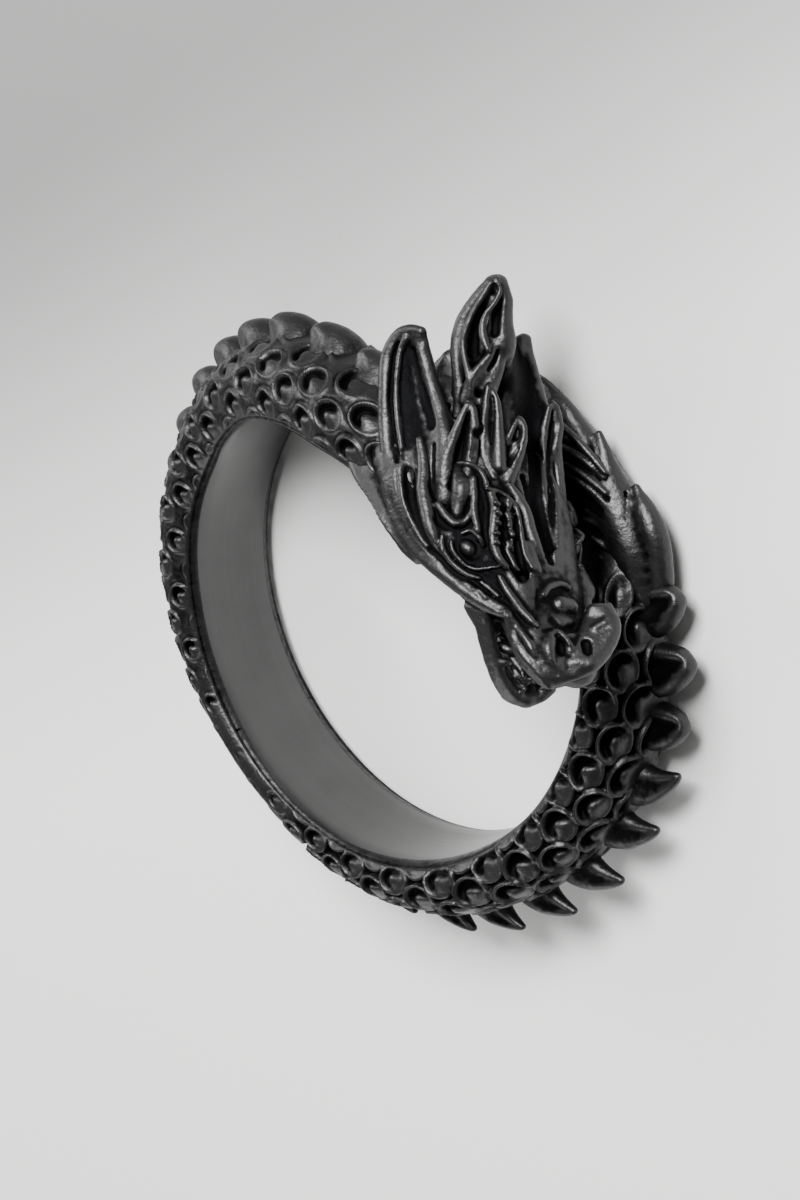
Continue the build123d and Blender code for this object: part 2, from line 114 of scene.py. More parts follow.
# Sections of a spine: outward and tailward place of its middle, half length, half width and the hollow
# along its sides, in millimetres of a full spine
SPINE_SHAPES = [
    [
        (-0.95, -0.50, 1.40, 1.30, 0.00), (-0.35, -0.40, 1.32, 1.12, 0.00), (0.08, -0.24, 1.12, 0.90, 0.10),
        (0.40, 0.00, 0.88, 0.70, 0.20), (0.65, 0.24, 0.64, 0.50, 0.22), (0.82, 0.42, 0.40, 0.32, 0.14),
        (0.90, 0.50, 0.13, 0.12, 0.00),
    ],
    [
        (-0.75, -0.45, 1.15, 0.78, 0.00), (-0.20, -0.30, 1.06, 0.72, 0.08), (0.25, -0.12, 0.83, 0.62, 0.25),
        (0.60, 0.14, 0.62, 0.52, 0.38), (0.90, 0.44, 0.44, 0.41, 0.40), (1.14, 0.74, 0.29, 0.29, 0.30),
        (1.30, 0.98, 0.16, 0.18, 0.12), (1.36, 1.06, 0.06, 0.07, 0.00),
    ],
    [
        (-0.80, -0.30, 1.15, 0.85, 0.00), (-0.25, -0.18, 1.06, 0.85, 0.25), (0.15, -0.02, 0.96, 0.82, 0.50),
        (0.50, 0.16, 0.80, 0.74, 0.60), (0.78, 0.32, 0.62, 0.60, 0.55), (0.98, 0.44, 0.42, 0.42, 0.30),
        (1.08, 0.50, 0.16, 0.17, 0.00),
    ],
]

# Wall under the head: angle, height of its near face and of its underside, which rises past the tuft
SADDLE_RUN = [
    (-12, -2.0, -2.8), (-6, -0.6, -2.8), (8, 0.1, -2.8), (20, 2.2, -2.8), (32, 3.9, -2.8), (46, 5.1, -2.8),
    (58, 5.3, -2.6), (66, 5.3, -1.6), (74, 5.2, 0.4), (84, 4.9, 1.2), (94, 4.4, 1.2),
]

# Strokes are runs of round cones: laid on the clay or cut out of it, softened where they meet it. A blade is
# laid as rails between two edges, sunk by its dish in the middle. A cut bites into every part it reaches.
Stroke = namedtuple("Stroke", "name part way soft rows")
Blade = namedtuple("Blade", "name part way soft dish rows")
LAY, CUT, LAY_BOTH, CUT_BOTH = "lay", "cut", "lay both", "cut both"
FACE, CREST, TUFT = "dragon_head", "dragon_crest", "tail_tuft"

# Masses of the head: forward, up, near, radius
HEAD_MASSES = [
    Stroke("skull", FACE, LAY, 0.6, [
        (-3.6, 0.1, 0.8, 1.30), (-2.0, 0.1, 0.6, 1.70), (0.0, 0.2, 0.3, 1.85), (1.6, 0.3, 0.1, 1.75),
        (3.2, 0.5, 0.0, 1.45), (4.8, 0.7, 0.0, 1.10), (6.3, 1.0, 0.0, 0.95), (7.2, 1.25, 0.0, 0.85),
    ]),
    Stroke("cheek", FACE, LAY_BOTH, 0.6, [
        (-3.2, -1.6, 2.9, 0.90), (-1.5, -1.4, 2.8, 1.20), (0.3, -1.0, 2.6, 1.30), (1.9, -0.6, 2.3, 1.30),
        (3.3, -0.3, 1.8, 1.10), (4.6, -0.1, 1.35, 0.80),
    ]),
    Stroke("forehead", FACE, LAY_BOTH, 0.6, [
        (-0.3, 1.0, 1.2, 0.90), (1.6, 0.8, 1.3, 1.10), (3.2, 0.7, 1.1, 1.10), (4.6, 0.9, 0.8, 0.80),
    ]),
    Stroke("upper jaw", FACE, LAY_BOTH, 0.5, [
        (4.0, 0.5, 0.9, 0.95), (5.8, 0.75, 1.0, 0.85), (7.2, 0.95, 0.95, 0.85), (8.0, 1.05, 0.6, 0.80),
    ]),
]

# Strokes of the head: forward, up, near, radius
HEAD_STROKES = [
    Stroke("crown", CREST, LAY, 0.4, [
        (-2.3, -0.7, 0.6, 0.7), (-1.7, 0.05, 0.3, 0.7), (-0.45, 0.45, -0.2, 0.7), (0.65, 0.55, -0.5, 0.7),
    ]),
    Blade("back plate", CREST, LAY, 0.3, 0.3, [
        (-5.05, 2.75, -0.5, -5.5, 1.8, -1.9, 0.18), (-4.3, 2.55, -0.3, -4.4, 1.85, -1.9, 0.3),
        (-3.05, 2.15, -0.1, -3.1, 1.7, -1.9, 0.4), (-1.85, 1.55, 0, -1.7, 1.45, -1.8, 0.5),
        (-0.55, 1.1, 0, -0.3, 1.2, -1.6, 0.5),
    ]),
    Blade("back crest", CREST, LAY, 0.25, 0.15, [
        (-5.3, 0.9, 1.1, -5.3, 1.1, 0.8, 0.2), (-4.9, 0.15, 1.2, -4.4, 0.95, 0.9, 0.35),
        (-3.9, 0.05, 1.5, -3.5, 0.65, 1, 0.45), (-2.6, 0, 1.7, -2.2, 0.65, 1.2, 0.5),
    ]),
    Blade("ear", CREST, LAY, 0.2, 0.22, [
        (-6.05, 0.85, 3, -5.9, 1.6, 2.75, 0.24), (-5.35, 0.3, 3.15, -5.05, 1.35, 2.6, 0.3),
        (-4.3, -0.2, 3.2, -3.85, 1.1, 2.45, 0.34), (-3.15, -0.45, 3.25, -2.75, 1.05, 2.4, 0.38),
        (-1.95, -0.6, 3.2, -1.6, 1.1, 2.5, 0.4), (-0.7, -0.75, 3.1, -0.6, 0.75, 2.6, 0.42),
        (0.5, -0.9, 3, 0.45, 0.3, 2.65, 0.42),
    ]),
    Stroke("ear rim", CREST, LAY, 0.12, [
        (-5.9, 1.9, 2.85, 0.18), (-6.15, 1.5, 3, 0.22), (-6.2, 1, 3.15, 0.27), (-5.9, 0.45, 3.3, 0.29),
        (-5.35, 0, 3.4, 0.31), (-4.45, -0.3, 3.5, 0.32), (-3.4, -0.75, 3.55, 0.33),
        (-2.25, -1.05, 3.6, 0.35), (-1.15, -1.4, 3.6, 0.35), (-0.35, -1.6, 3.55, 0.3),
    ]),
    Stroke("cheek rim", FACE, LAY, 0.15, [
        (-2.05, -1.15, 3.6, 0.33), (-1.15, -1.4, 3.6, 0.36), (-0.05, -1.6, 3.6, 0.36),
        (0.95, -1.5, 3.5, 0.36), (2, -1.25, 3.3, 0.36), (2.9, -0.75, 3.1, 0.36), (3.7, -0.35, 2.8, 0.36),
        (4.5, 0.1, 2.45, 0.34), (5.15, 0.5, 2.1, 0.3), (5.65, 1, 1.9, 0.22),
    ]),
    Stroke("ear back edge", CREST, LAY, 0.15, [
        (-5.85, 1.8, 2.75, 0.16), (-4.95, 1.45, 2.55, 0.16), (-3.85, 1.25, 2.4, 0.16),
        (-2.9, 1.3, 2.4, 0.16),
    ]),
    Stroke("ear inner ridge", CREST, LAY, 0.07, [
        (-5.9, 1.3, 3.15, 0.16), (-5.6, 0.9, 3.25, 0.13), (-5, 0.55, 3.35, 0.12), (-4, 0.1, 3.45, 0.11),
        (-2.85, -0.15, 3.55, 0.11), (-1.8, -0.3, 3.6, 0.13), (-1.55, -0.35, 3.6, 0.13),
    ]),
    Stroke("rim groove", CREST, CUT, 0.05, [
        (-5.9, 0.9, 3.25, 0.09), (-5.45, 0.5, 3.35, 0.11), (-4.8, 0.2, 3.45, 0.12),
        (-3.95, -0.15, 3.55, 0.12), (-3, -0.4, 3.6, 0.12), (-2.1, -0.6, 3.6, 0.14),
        (-1.55, -0.65, 3.7, 0.1),
    ]),
    Stroke("ear shade", CREST, CUT, 0.2, [
        (-5.4, 1.25, 3, 0.1), (-4.4, 1.1, 2.95, 0.16), (-3.4, 0.95, 2.85, 0.2), (-2.35, 0.95, 2.9, 0.18),
    ]),
    Stroke("deep groove", CREST, CUT, 0.08, [
        (-1.75, -0.2, 3.6, 0.12), (-0.8, -0.35, 3.6, 0.26), (0.2, -0.45, 3.75, 0.28),
        (1.1, -0.45, 3.75, 0.22), (1.9, -0.45, 3.6, 0.13), (2.55, -0.3, 3.4, 0.1),
    ]),
    Stroke("rim fold", CREST, CUT, 0.04, [
        (-1.2, -0.7, 3.85, 0.05), (0, -0.9, 3.95, 0.06), (1, -0.9, 3.85, 0.07), (1.9, -0.75, 3.65, 0.08),
        (2.7, -0.4, 3.4, 0.08),
    ]),
    Stroke("jaw groove", FACE, CUT_BOTH, 0.06, [
        (2.6, -0.35, 3.4, 0.09), (3.2, -0.15, 3.25, 0.1), (3.75, 0.05, 3.05, 0.11),
        (4.4, 0.4, 2.75, 0.13), (4.95, 0.7, 2.5, 0.16), (5.4, 1, 2.25, 0.18),
    ]),
    Stroke("temple ridge", FACE, LAY, 0.12, [
        (-2, 0.3, 3.1, 0.18), (-1, 0.2, 3.15, 0.26), (0, 0.05, 3.4, 0.28), (0.95, 0, 3.5, 0.28),
        (1.65, 0, 3.55, 0.24), (2.2, -0.05, 3.45, 0.14),
    ]),
    Stroke("temple slit", FACE, CUT, 0.05, [
        (-1.5, 0.85, 2.95, 0.09), (-0.6, 0.5, 3.05, 0.09), (-0.05, 0.3, 3.25, 0.1),
        (0.45, 0.3, 3.3, 0.06),
    ]),
    Blade("brow spike", CREST, LAY, 0.15, 0.2, [
        (-2.45, 2.3, 2.05, -2.25, 2.55, 1.95, 0.12), (-1.95, 1.8, 2.15, -1.55, 2.3, 1.95, 0.17),
        (-1.4, 1.2, 2.3, -0.8, 1.85, 2, 0.22), (-0.8, 0.6, 2.4, -0.2, 1.45, 2.1, 0.26),
        (-0.1, 0.15, 2.5, 0.4, 1, 2.2, 0.3), (0.6, -0.1, 2.55, 0.95, 0.65, 2.3, 0.32),
    ]),
    Stroke("brow spike ridge", CREST, LAY, 0.08, [
        (-2.45, 2.45, 2.15, 0.12), (-1.95, 2, 2.35, 0.18), (-1.35, 1.45, 2.55, 0.22),
        (-0.75, 0.95, 2.7, 0.24), (-0.05, 0.5, 2.8, 0.25), (0.5, 0.2, 2.8, 0.24), (1.05, 0.25, 2.75, 0.2),
        (1.55, 0.45, 2.7, 0.16),
    ]),
    Stroke("brow spike tip", CREST, LAY, 0.08, [
        (-2.45, 2.5, 2, 0.13), (-2.05, 2.45, 2, 0.14), (-1.5, 2.2, 2.05, 0.12), (-0.7, 1.6, 2.1, 0.12),
    ]),
    Stroke("brow spike hollow", CREST, CUT, 0.05, [
        (-2.1, 2.35, 2.1, 0.07), (-1.55, 1.75, 2.15, 0.12), (-0.9, 1.3, 2.25, 0.16), (-0.2, 1, 2.5, 0.18),
        (0.25, 0.8, 2.65, 0.15),
    ]),
    Stroke("brow mass", FACE, LAY, 0.18, [
        (-0.4, 1, 2.25, 0.3), (0.45, 1.15, 2.45, 0.4), (1.05, 0.8, 2.55, 0.36), (1.45, 0.65, 2.7, 0.24),
    ]),
    Stroke("brow crest", FACE, LAY, 0.06, [
        (-0.5, 1.35, 2.5, 0.09), (-0.3, 1.75, 2.4, 0.11), (-0.15, 1.85, 2.2, 0.12),
        (0.15, 1.9, 1.95, 0.12), (0.6, 1.95, 1.9, 0.1),
    ]),
    Stroke("under crest", FACE, CUT, 0.03, [
        (-0.15, 1.55, 2.6, 0.05), (0.1, 1.8, 2.4, 0.05), (0.4, 1.85, 2.15, 0.05), (0.75, 1.9, 2.1, 0.04),
    ]),
    Stroke("brow overhang", FACE, LAY_BOTH, 0.1, [
        (0.8, 0.4, 3.2, 0.16), (1.4, 0.55, 3.1, 0.18), (1.75, 0.7, 2.9, 0.18), (1.75, 0.9, 2.6, 0.16),
        (1.6, 1.2, 2.45, 0.12),
    ]),
    Stroke("brow slit", FACE, CUT, 0.04, [
        (0.35, 1.7, 2.5, 0.07), (0.9, 1.6, 2.65, 0.08), (1.35, 1.3, 2.55, 0.06),
    ]),
    Stroke("brow ridge one", FACE, LAY, 0.1, [
        (0.25, 1.6, 2.15, 0.14), (0.85, 1.5, 2.25, 0.16), (1.4, 1.35, 2.35, 0.16), (2.05, 1.3, 2.4, 0.15),
        (2.65, 1.2, 2.35, 0.09),
    ]),
    Stroke("brow ridge two", FACE, LAY, 0.1, [
        (0.65, 1.85, 1.9, 0.1), (1.1, 1.9, 1.8, 0.16), (1.65, 1.9, 1.8, 0.19), (2.25, 1.75, 1.95, 0.19),
        (2.85, 1.55, 2.05, 0.19), (3.5, 1.5, 2, 0.16), (4, 1.55, 1.75, 0.1),
    ]),
    Stroke("ridge bead", FACE, LAY, 0.06, [
        (1.55, 2.2, 1.95, 0.1), (1.65, 2.2, 1.85, 0.1),
    ]),
    Stroke("ridge bead", FACE, LAY, 0.06, [
        (1.95, 2.15, 1.95, 0.1), (2, 2.05, 1.75, 0.1),
    ]),
    Stroke("ridge bead", FACE, LAY, 0.06, [
        (2.3, 2.05, 2, 0.1), (2.35, 1.9, 1.8, 0.1),
    ]),
    Stroke("ridge bead", FACE, LAY, 0.06, [
        (2.7, 1.9, 2.1, 0.1), (2.7, 1.8, 1.9, 0.1),
    ]),
    Stroke("ridge bead", FACE, LAY, 0.06, [
        (3.05, 1.85, 2.2, 0.1), (3.1, 1.8, 2.05, 0.1),
    ]),
    Stroke("brow groove", FACE, CUT, 0.08, [
        (0.9, 1.75, 2, 0.09), (1.55, 1.65, 2.05, 0.12), (2.2, 1.5, 2.2, 0.13), (2.9, 1.3, 2.2, 0.11),
    ]),
    Stroke("forehead groove", FACE, CUT, 0.08, [
        (1.25, 1.9, 1.5, 0.1), (1.85, 1.9, 1.45, 0.2), (2.45, 1.8, 1.55, 0.24), (3.15, 1.7, 1.6, 0.24),
        (3.8, 1.6, 1.5, 0.2), (4.45, 1.65, 1.25, 0.22),
    ]),
    Stroke("forehead deep", FACE, CUT, 0.06, [
        (1.35, 1.95, 1, 0.09), (1.85, 1.95, 0.85, 0.13), (2.5, 1.85, 1, 0.15), (3.2, 1.8, 1.15, 0.16),
        (3.95, 1.7, 1.15, 0.15), (4.4, 1.55, 1.05, 0.18),
    ]),
    Stroke("bead", FACE, LAY, 0.06, [
        (1.5, 2, 1.2, 0.13), (1.65, 2, 1.2, 0.13),
    ]),
    Stroke("bead", FACE, LAY, 0.06, [
        (1.9, 1.9, 1.3, 0.13), (2.05, 1.9, 1.3, 0.13),
    ]),
    Stroke("bead", FACE, LAY, 0.06, [
        (2.3, 1.9, 1.3, 0.13), (2.4, 1.9, 1.35, 0.13),
    ]),
    Stroke("bead", FACE, LAY, 0.06, [
        (2.65, 1.85, 1.35, 0.13), (2.8, 1.9, 1.35, 0.13),
    ]),
    Stroke("bead", FACE, LAY, 0.06, [
        (3, 1.65, 1.45, 0.13), (3.15, 1.65, 1.45, 0.13),
    ]),
    Stroke("forehead small ridge", FACE, LAY, 0.06, [
        (3.2, 1.55, 1.55, 0.1), (3.6, 1.55, 1.45, 0.11), (4, 1.55, 1.35, 0.11), (4.2, 1.5, 1.1, 0.07),
    ]),
    Stroke("forehead far ridge", FACE, LAY, 0.06, [
        (0.9, 2.05, 2.05, 0.07), (1, 2.05, 1.6, 0.09), (1.3, 2.1, 1.2, 0.1), (1.75, 2.05, 0.9, 0.1),
        (2.45, 2.05, 0.95, 0.1), (3.15, 2, 1.05, 0.1), (3.7, 1.95, 1.05, 0.11), (4.2, 1.95, 0.9, 0.12),
    ]),
    Stroke("forehead side ridge", FACE, LAY, 0.1, [
        (0.55, 2.1, 1.05, 0.12), (1.2, 2.1, 0.75, 0.18), (1.85, 2.05, 0.5, 0.22), (2.55, 2, 0.5, 0.24),
        (3.2, 2, 0.45, 0.22), (3.7, 1.95, 0.3, 0.16),
    ]),
    Stroke("forehead side foot", FACE, LAY, 0.12, [
        (3.25, 1.9, 0.8, 0.2), (3.75, 1.85, 0.7, 0.24), (4.25, 1.85, 0.65, 0.22),
    ]),
    Stroke("side nick", FACE, CUT, 0.04, [
        (3.7, 2.2, 0.85, 0.06), (3.9, 2.1, 0.6, 0.08), (4.1, 1.95, 0.15, 0.07),
    ]),
    Stroke("far valley", FACE, CUT, 0.12, [
        (0.45, 2, 0.1, 0.15), (1.35, 1.95, -0.05, 0.3), (2.3, 1.95, -0.1, 0.34), (3.2, 1.85, -0.15, 0.3),
        (3.9, 1.8, -0.2, 0.16),
    ]),
    Stroke("eye socket", FACE, CUT_BOTH, 0.1, [
        (2.75, 0.95, 2.8, 0.34), (3, 0.95, 2.8, 0.34),
    ]),
    Stroke("eyeball", FACE, LAY_BOTH, 0.04, [
        (2.7, 0.6, 2.6, 0.3), (2.8, 0.65, 2.55, 0.3),
    ]),
    Stroke("eye groove", FACE, CUT_BOTH, 0.05, [
        (1.95, 0.55, 3.05, 0.05), (2.35, 0.55, 2.95, 0.08), (2.85, 0.45, 2.95, 0.1),
        (3.25, 0.5, 2.7, 0.12), (3.35, 0.8, 2.45, 0.11), (3.15, 1.1, 2.3, 0.07),
    ]),
    Stroke("pupil", FACE, CUT_BOTH, 0.05, [
        (3, 1.1, 2.85, 0.08), (3.05, 1.1, 2.8, 0.08),
    ]),
    Stroke("eye fold", FACE, LAY_BOTH, 0.06, [
        (2.2, 0.8, 2.8, 0.08), (2.2, 1.05, 2.55, 0.1), (2.65, 1.4, 2.55, 0.1), (2.9, 1.25, 2.3, 0.09),
    ]),
    Stroke("lower lid", FACE, LAY_BOTH, 0.04, [
        (2.35, 0.45, 3.15, 0.08), (2.7, 0.4, 3.15, 0.09), (3.05, 0.4, 3, 0.09), (3.5, 0.5, 2.7, 0.09),
        (3.7, 0.8, 2.4, 0.09), (3.8, 1.15, 2.15, 0.07), (3.9, 1.45, 1.95, 0.05),
    ]),
    Stroke("lid groove", FACE, CUT_BOTH, 0.04, [
        (2.25, 0.4, 3.3, 0.05), (2.65, 0.25, 3.25, 0.07), (3.05, 0.25, 3.1, 0.08),
        (3.45, 0.35, 2.85, 0.08), (3.8, 0.6, 2.55, 0.09), (4, 1, 2.2, 0.09), (4.1, 1.35, 1.95, 0.06),
    ]),
    Stroke("outer lid", FACE, LAY_BOTH, 0.05, [
        (2.05, 0.3, 3.35, 0.09), (2.4, 0.15, 3.4, 0.11), (2.85, 0.1, 3.25, 0.12), (3.3, 0.15, 3, 0.12),
        (3.75, 0.35, 2.7, 0.11), (4, 0.6, 2.4, 0.07),
    ]),
    Stroke("upper lid groove", FACE, CUT_BOTH, 0.05, [
        (2, 1, 2.8, 0.08), (2, 0.7, 2.95, 0.12), (2.25, 0.45, 3.25, 0.08),
    ]),
    Stroke("temple hollow", FACE, CUT, 0.12, [
        (1.35, 0.3, 3.4, 0.12), (1.65, 0.4, 3.25, 0.14), (1.85, 0.5, 3.1, 0.09),
    ]),
    Stroke("under eye groove", FACE, CUT_BOTH, 0.08, [
        (2.25, -0.55, 3.5, 0.09), (2.65, -0.3, 3.35, 0.12), (3.3, -0.1, 3.1, 0.11),
        (3.8, 0.1, 2.85, 0.08),
    ]),
    Stroke("muzzle wrinkle one", FACE, LAY_BOTH, 0.1, [
        (4.15, 0.5, 2.3, 0.09), (4.5, 0.65, 2.1, 0.12), (4.85, 0.85, 2, 0.1),
    ]),
    Stroke("muzzle wrinkle two", FACE, LAY_BOTH, 0.1, [
        (4.4, 0.45, 2.5, 0.08), (4.8, 0.6, 2.4, 0.1),
    ]),
    Blade("mid spike", CREST, LAY, 0.12, 0.12, [
        (-2.9, 2.85, 1.25, -2.8, 2.95, 1.15, 0.12), (-2.4, 2.5, 1.3, -2.2, 2.85, 1.1, 0.18),
        (-1.75, 2.15, 1.35, -1.5, 2.65, 1.1, 0.22), (-1.05, 1.8, 1.4, -0.7, 2.4, 1.15, 0.28),
        (-0.35, 1.55, 1.4, 0, 2.15, 1.2, 0.32),
    ]),
    Stroke("mid spike ridge", CREST, LAY, 0.07, [
        (-3, 2.95, 1.3, 0.11), (-2.35, 2.65, 1.4, 0.15), (-1.7, 2.25, 1.45, 0.17), (-1, 1.95, 1.5, 0.18),
        (-0.35, 1.8, 1.5, 0.18), (0.4, 1.95, 1.45, 0.14),
    ]),
    Stroke("mid spike far ridge", CREST, LAY, 0.06, [
        (-3, 2.95, 1.2, 0.09), (-2.5, 3, 1.1, 0.11), (-1.95, 2.9, 1.1, 0.11), (-1.35, 2.7, 1.15, 0.11),
        (-0.75, 2.5, 1.2, 0.12),
    ]),
    Stroke("mid spike hollow", CREST, CUT, 0.05, [
        (-2.55, 2.9, 1.25, 0.07), (-2.05, 2.75, 1.25, 0.11), (-1.45, 2.45, 1.3, 0.12),
        (-0.9, 2.3, 1.4, 0.09),
    ]),
    Blade("leaf", CREST, LAY, 0.14, 0.1, [
        (-1.65, 2.8, 0.3, -1.55, 3, 0.2, 0.1), (-1.2, 2.55, 0.5, -0.95, 2.9, 0.2, 0.15),
        (-0.65, 2.15, 0.75, -0.4, 2.65, 0.4, 0.2), (-0.2, 1.8, 1, 0.1, 2.35, 0.65, 0.26),
        (0.25, 1.45, 1.2, 0.55, 2.05, 0.9, 0.3),
    ]),
    Stroke("leaf ridge", CREST, LAY, 0.07, [
        (-1.6, 2.95, 0.35, 0.1), (-1.1, 2.65, 0.65, 0.15), (-0.65, 2.25, 0.9, 0.19),
        (-0.15, 1.85, 1.15, 0.21), (0.3, 1.6, 1.3, 0.16),
    ]),
    Stroke("leaf far ridge", CREST, LAY, 0.07, [
        (-1.65, 2.95, 0.25, 0.1), (-1.25, 3.05, 0.2, 0.11), (-0.8, 2.95, 0.3, 0.11),
        (-0.4, 2.7, 0.45, 0.11), (0, 2.4, 0.6, 0.12), (0.4, 2.05, 0.7, 0.1),
    ]),
    Stroke("leaf hollow one", CREST, CUT, 0.04, [
        (-1.35, 2.85, 0.35, 0.06), (-1, 2.7, 0.4, 0.1), (-0.85, 2.55, 0.55, 0.07),
    ]),
    Stroke("leaf hollow two", CREST, CUT, 0.04, [
        (-0.45, 2.7, 0.55, 0.08), (-0.2, 2.5, 0.75, 0.11), (0.1, 2.35, 0.95, 0.08),
    ]),
    Blade("horn", CREST, LAY, 0.25, 0.25, [
        (-6.65, 4.5, 1, -6.6, 4.6, 0.65, 0.24), (-6.35, 3.85, 1.1, -6, 4.4, 0.5, 0.32),
        (-5.8, 3.05, 1.3, -5.3, 3.9, 0.5, 0.42), (-5.05, 2.4, 1.4, -4.5, 3.6, 0.5, 0.5),
        (-4.2, 1.95, 1.35, -3.95, 2.5, 0.2, 0.46), (-3.45, 1.3, 1.2, -3.25, 1.75, 0, 0.46),
        (-2.6, 0.4, 0.9, -2.4, 0.9, -0.2, 0.5),
    ]),
    Stroke("horn outer band", CREST, LAY, 0.12, [
        (-6.65, 4.85, 1, 0.15), (-6.55, 4.25, 1.2, 0.2), (-6.2, 3.55, 1.45, 0.24),
        (-5.7, 2.9, 1.65, 0.27), (-5.05, 2.45, 1.75, 0.28), (-4.2, 2.1, 1.75, 0.27),
        (-3.35, 1.75, 1.7, 0.26), (-2.6, 1.25, 1.7, 0.24),
    ]),
    Stroke("horn ridge one", CREST, LAY, 0.08, [
        (-6.55, 4.8, 1.25, 0.09), (-6.15, 4.35, 1.5, 0.12), (-5.75, 3.8, 1.7, 0.12),
        (-5.3, 3.35, 1.85, 0.12), (-4.8, 2.95, 1.9, 0.13), (-4.1, 2.8, 1.9, 0.14),
        (-3.4, 2.7, 1.85, 0.16), (-2.9, 2.35, 1.8, 0.14),
    ]),
    Stroke("horn hollow one", CREST, CUT, 0.08, [
        (-6.25, 4.35, 1.15, 0.1), (-5.75, 3.65, 1.3, 0.19), (-5.1, 3.2, 1.45, 0.24),
        (-4.45, 2.8, 1.4, 0.2),
    ]),
    Stroke("horn ridge two", CREST, LAY, 0.08, [
        (-6.5, 4.9, 1.05, 0.09), (-6.15, 4.8, 0.95, 0.1), (-5.8, 4.5, 1.15, 0.11),
        (-5.5, 4.15, 1.4, 0.12), (-5.1, 3.85, 1.5, 0.15), (-4.6, 3.75, 1.5, 0.17),
        (-4.15, 3.75, 1.45, 0.12),
    ]),
    Stroke("horn right edge", CREST, LAY, 0.1, [
        (-6.65, 4.8, 0.8, 0.15), (-6.3, 4.65, 0.55, 0.15), (-5.8, 4.35, 0.5, 0.15),
        (-5.4, 3.95, 0.5, 0.15), (-4.85, 3.7, 0.3, 0.2),
    ]),
    Stroke("horn hollow two", CREST, CUT, 0.08, [
        (-5.95, 4.5, 0.8, 0.12), (-5.5, 4.1, 0.9, 0.22), (-4.9, 3.85, 1, 0.22),
    ]),
    Stroke("horn tip hollow", CREST, CUT, 0.04, [
        (-6.45, 4.7, 1.1, 0.07), (-6.25, 4.4, 1, 0.1),
    ]),
    Blade("branch", CREST, LAY, 0.15, 0.1, [
        (-4.45, 3.6, 0.95, -4.4, 3.7, 0.75, 0.1), (-4.1, 3.35, 1.15, -4.05, 3.45, 0.65, 0.16),
        (-3.75, 3, 1.4, -3.6, 3.15, 0.75, 0.22), (-3.45, 2.55, 1.6, -3.15, 2.8, 0.95, 0.28),
        (-2.85, 2.05, 1.7, -2.6, 2.45, 1.1, 0.3),
    ]),
    Stroke("branch ridge", CREST, LAY, 0.08, [
        (-4.45, 3.7, 0.95, 0.09), (-4.1, 3.55, 1.2, 0.13), (-3.85, 3.2, 1.45, 0.16),
        (-3.6, 2.9, 1.7, 0.17), (-3.2, 2.4, 1.8, 0.16), (-2.85, 1.95, 1.8, 0.13),
    ]),
    Stroke("branch far ridge", CREST, LAY, 0.07, [
        (-4.5, 3.65, 0.75, 0.08), (-4.2, 3.55, 0.65, 0.09), (-3.85, 3.4, 0.75, 0.09),
        (-3.5, 3.1, 0.9, 0.1), (-3.1, 2.8, 1, 0.1),
    ]),
    Stroke("branch hollow", CREST, CUT, 0.04, [
        (-4.2, 3.65, 0.9, 0.07), (-3.9, 3.35, 1, 0.11), (-3.6, 3.15, 1.2, 0.08),
    ]),
    Stroke("ear nub", CREST, LAY, 0.06, [
        (-3.15, 1.05, 1.9, 0.14), (-2.9, 1, 2, 0.14),
    ]),
    Stroke("stem hollow", CREST, CUT, 0.12, [
        (-2.95, 2.6, 1.55, 0.1), (-2.55, 1.65, 1, 0.16), (-1.25, 2.3, 1.95, 0.18),
        (-0.55, 1.95, 2.1, 0.16),
    ]),
    Blade("far horn", CREST, LAY, 0.2, 0.12, [
        (-5.25, 2.6, -1.3, -5.25, 2.6, -1.6, 0.18), (-4.65, 2.4, -1.2, -4.6, 2.35, -1.65, 0.24),
        (-3.9, 2, -1.1, -3.75, 2.15, -1.75, 0.3), (-2.85, 1.65, -1, -2.6, 1.95, -1.8, 0.36),
        (-1.75, 1.35, -0.9, -1.3, 1.75, -1.7, 0.4),
    ]),
    Stroke("far horn edge", CREST, LAY, 0.08, [
        (-5.35, 2.65, -1.45, 0.13), (-5, 2.6, -1.6, 0.14), (-4.4, 2.35, -1.7, 0.14),
        (-3.7, 2.15, -1.85, 0.15), (-2.9, 2.05, -1.95, 0.14),
    ]),
    Blade("far spike", CREST, LAY, 0.15, 0.2, [
        (-2.3, 2.65, -1.7, -2.3, 2.65, -2.05, 0.12), (-1.7, 2.2, -1.6, -1.65, 2.3, -2.2, 0.18),
        (-1, 1.95, -1.5, -0.95, 2, -2.05, 0.22), (-0.05, 1.7, -1.4, -0.1, 1.6, -2.1, 0.26),
        (1.1, 1.4, -1.3, 1, 1.2, -2.1, 0.3), (2.25, 1.15, -1.2, 2.1, 0.85, -2.05, 0.32),
        (3.25, 1, -1.1, 3.1, 0.6, -1.8, 0.3),
    ]),
    Stroke("far spike ridge", CREST, LAY, 0.06, [
        (-2.55, 2.55, -2, 0.11), (-2.2, 2.5, -2.2, 0.12), (-1.6, 2.35, -2.2, 0.13),
        (-1.05, 2.15, -2, 0.12), (-0.55, 1.85, -1.9, 0.12), (-0.05, 1.85, -1.9, 0.12),
        (0.8, 1.65, -1.85, 0.12), (1.6, 1.45, -1.8, 0.12), (2.35, 1.2, -1.75, 0.12),
        (3.05, 0.95, -1.6, 0.13), (3.6, 0.7, -1.4, 0.15),
    ]),
    Stroke("far spike hollow", CREST, CUT, 0.06, [
        (-2.15, 2.55, -1.85, 0.07), (-1.45, 2.25, -1.8, 0.13), (-0.55, 2.05, -1.55, 0.16),
        (0.7, 1.9, -1.3, 0.18), (2, 1.95, -0.9, 0.2), (3.25, 1.9, -0.55, 0.16),
    ]),
    Stroke("far valley deep", CREST, CUT, 0.12, [
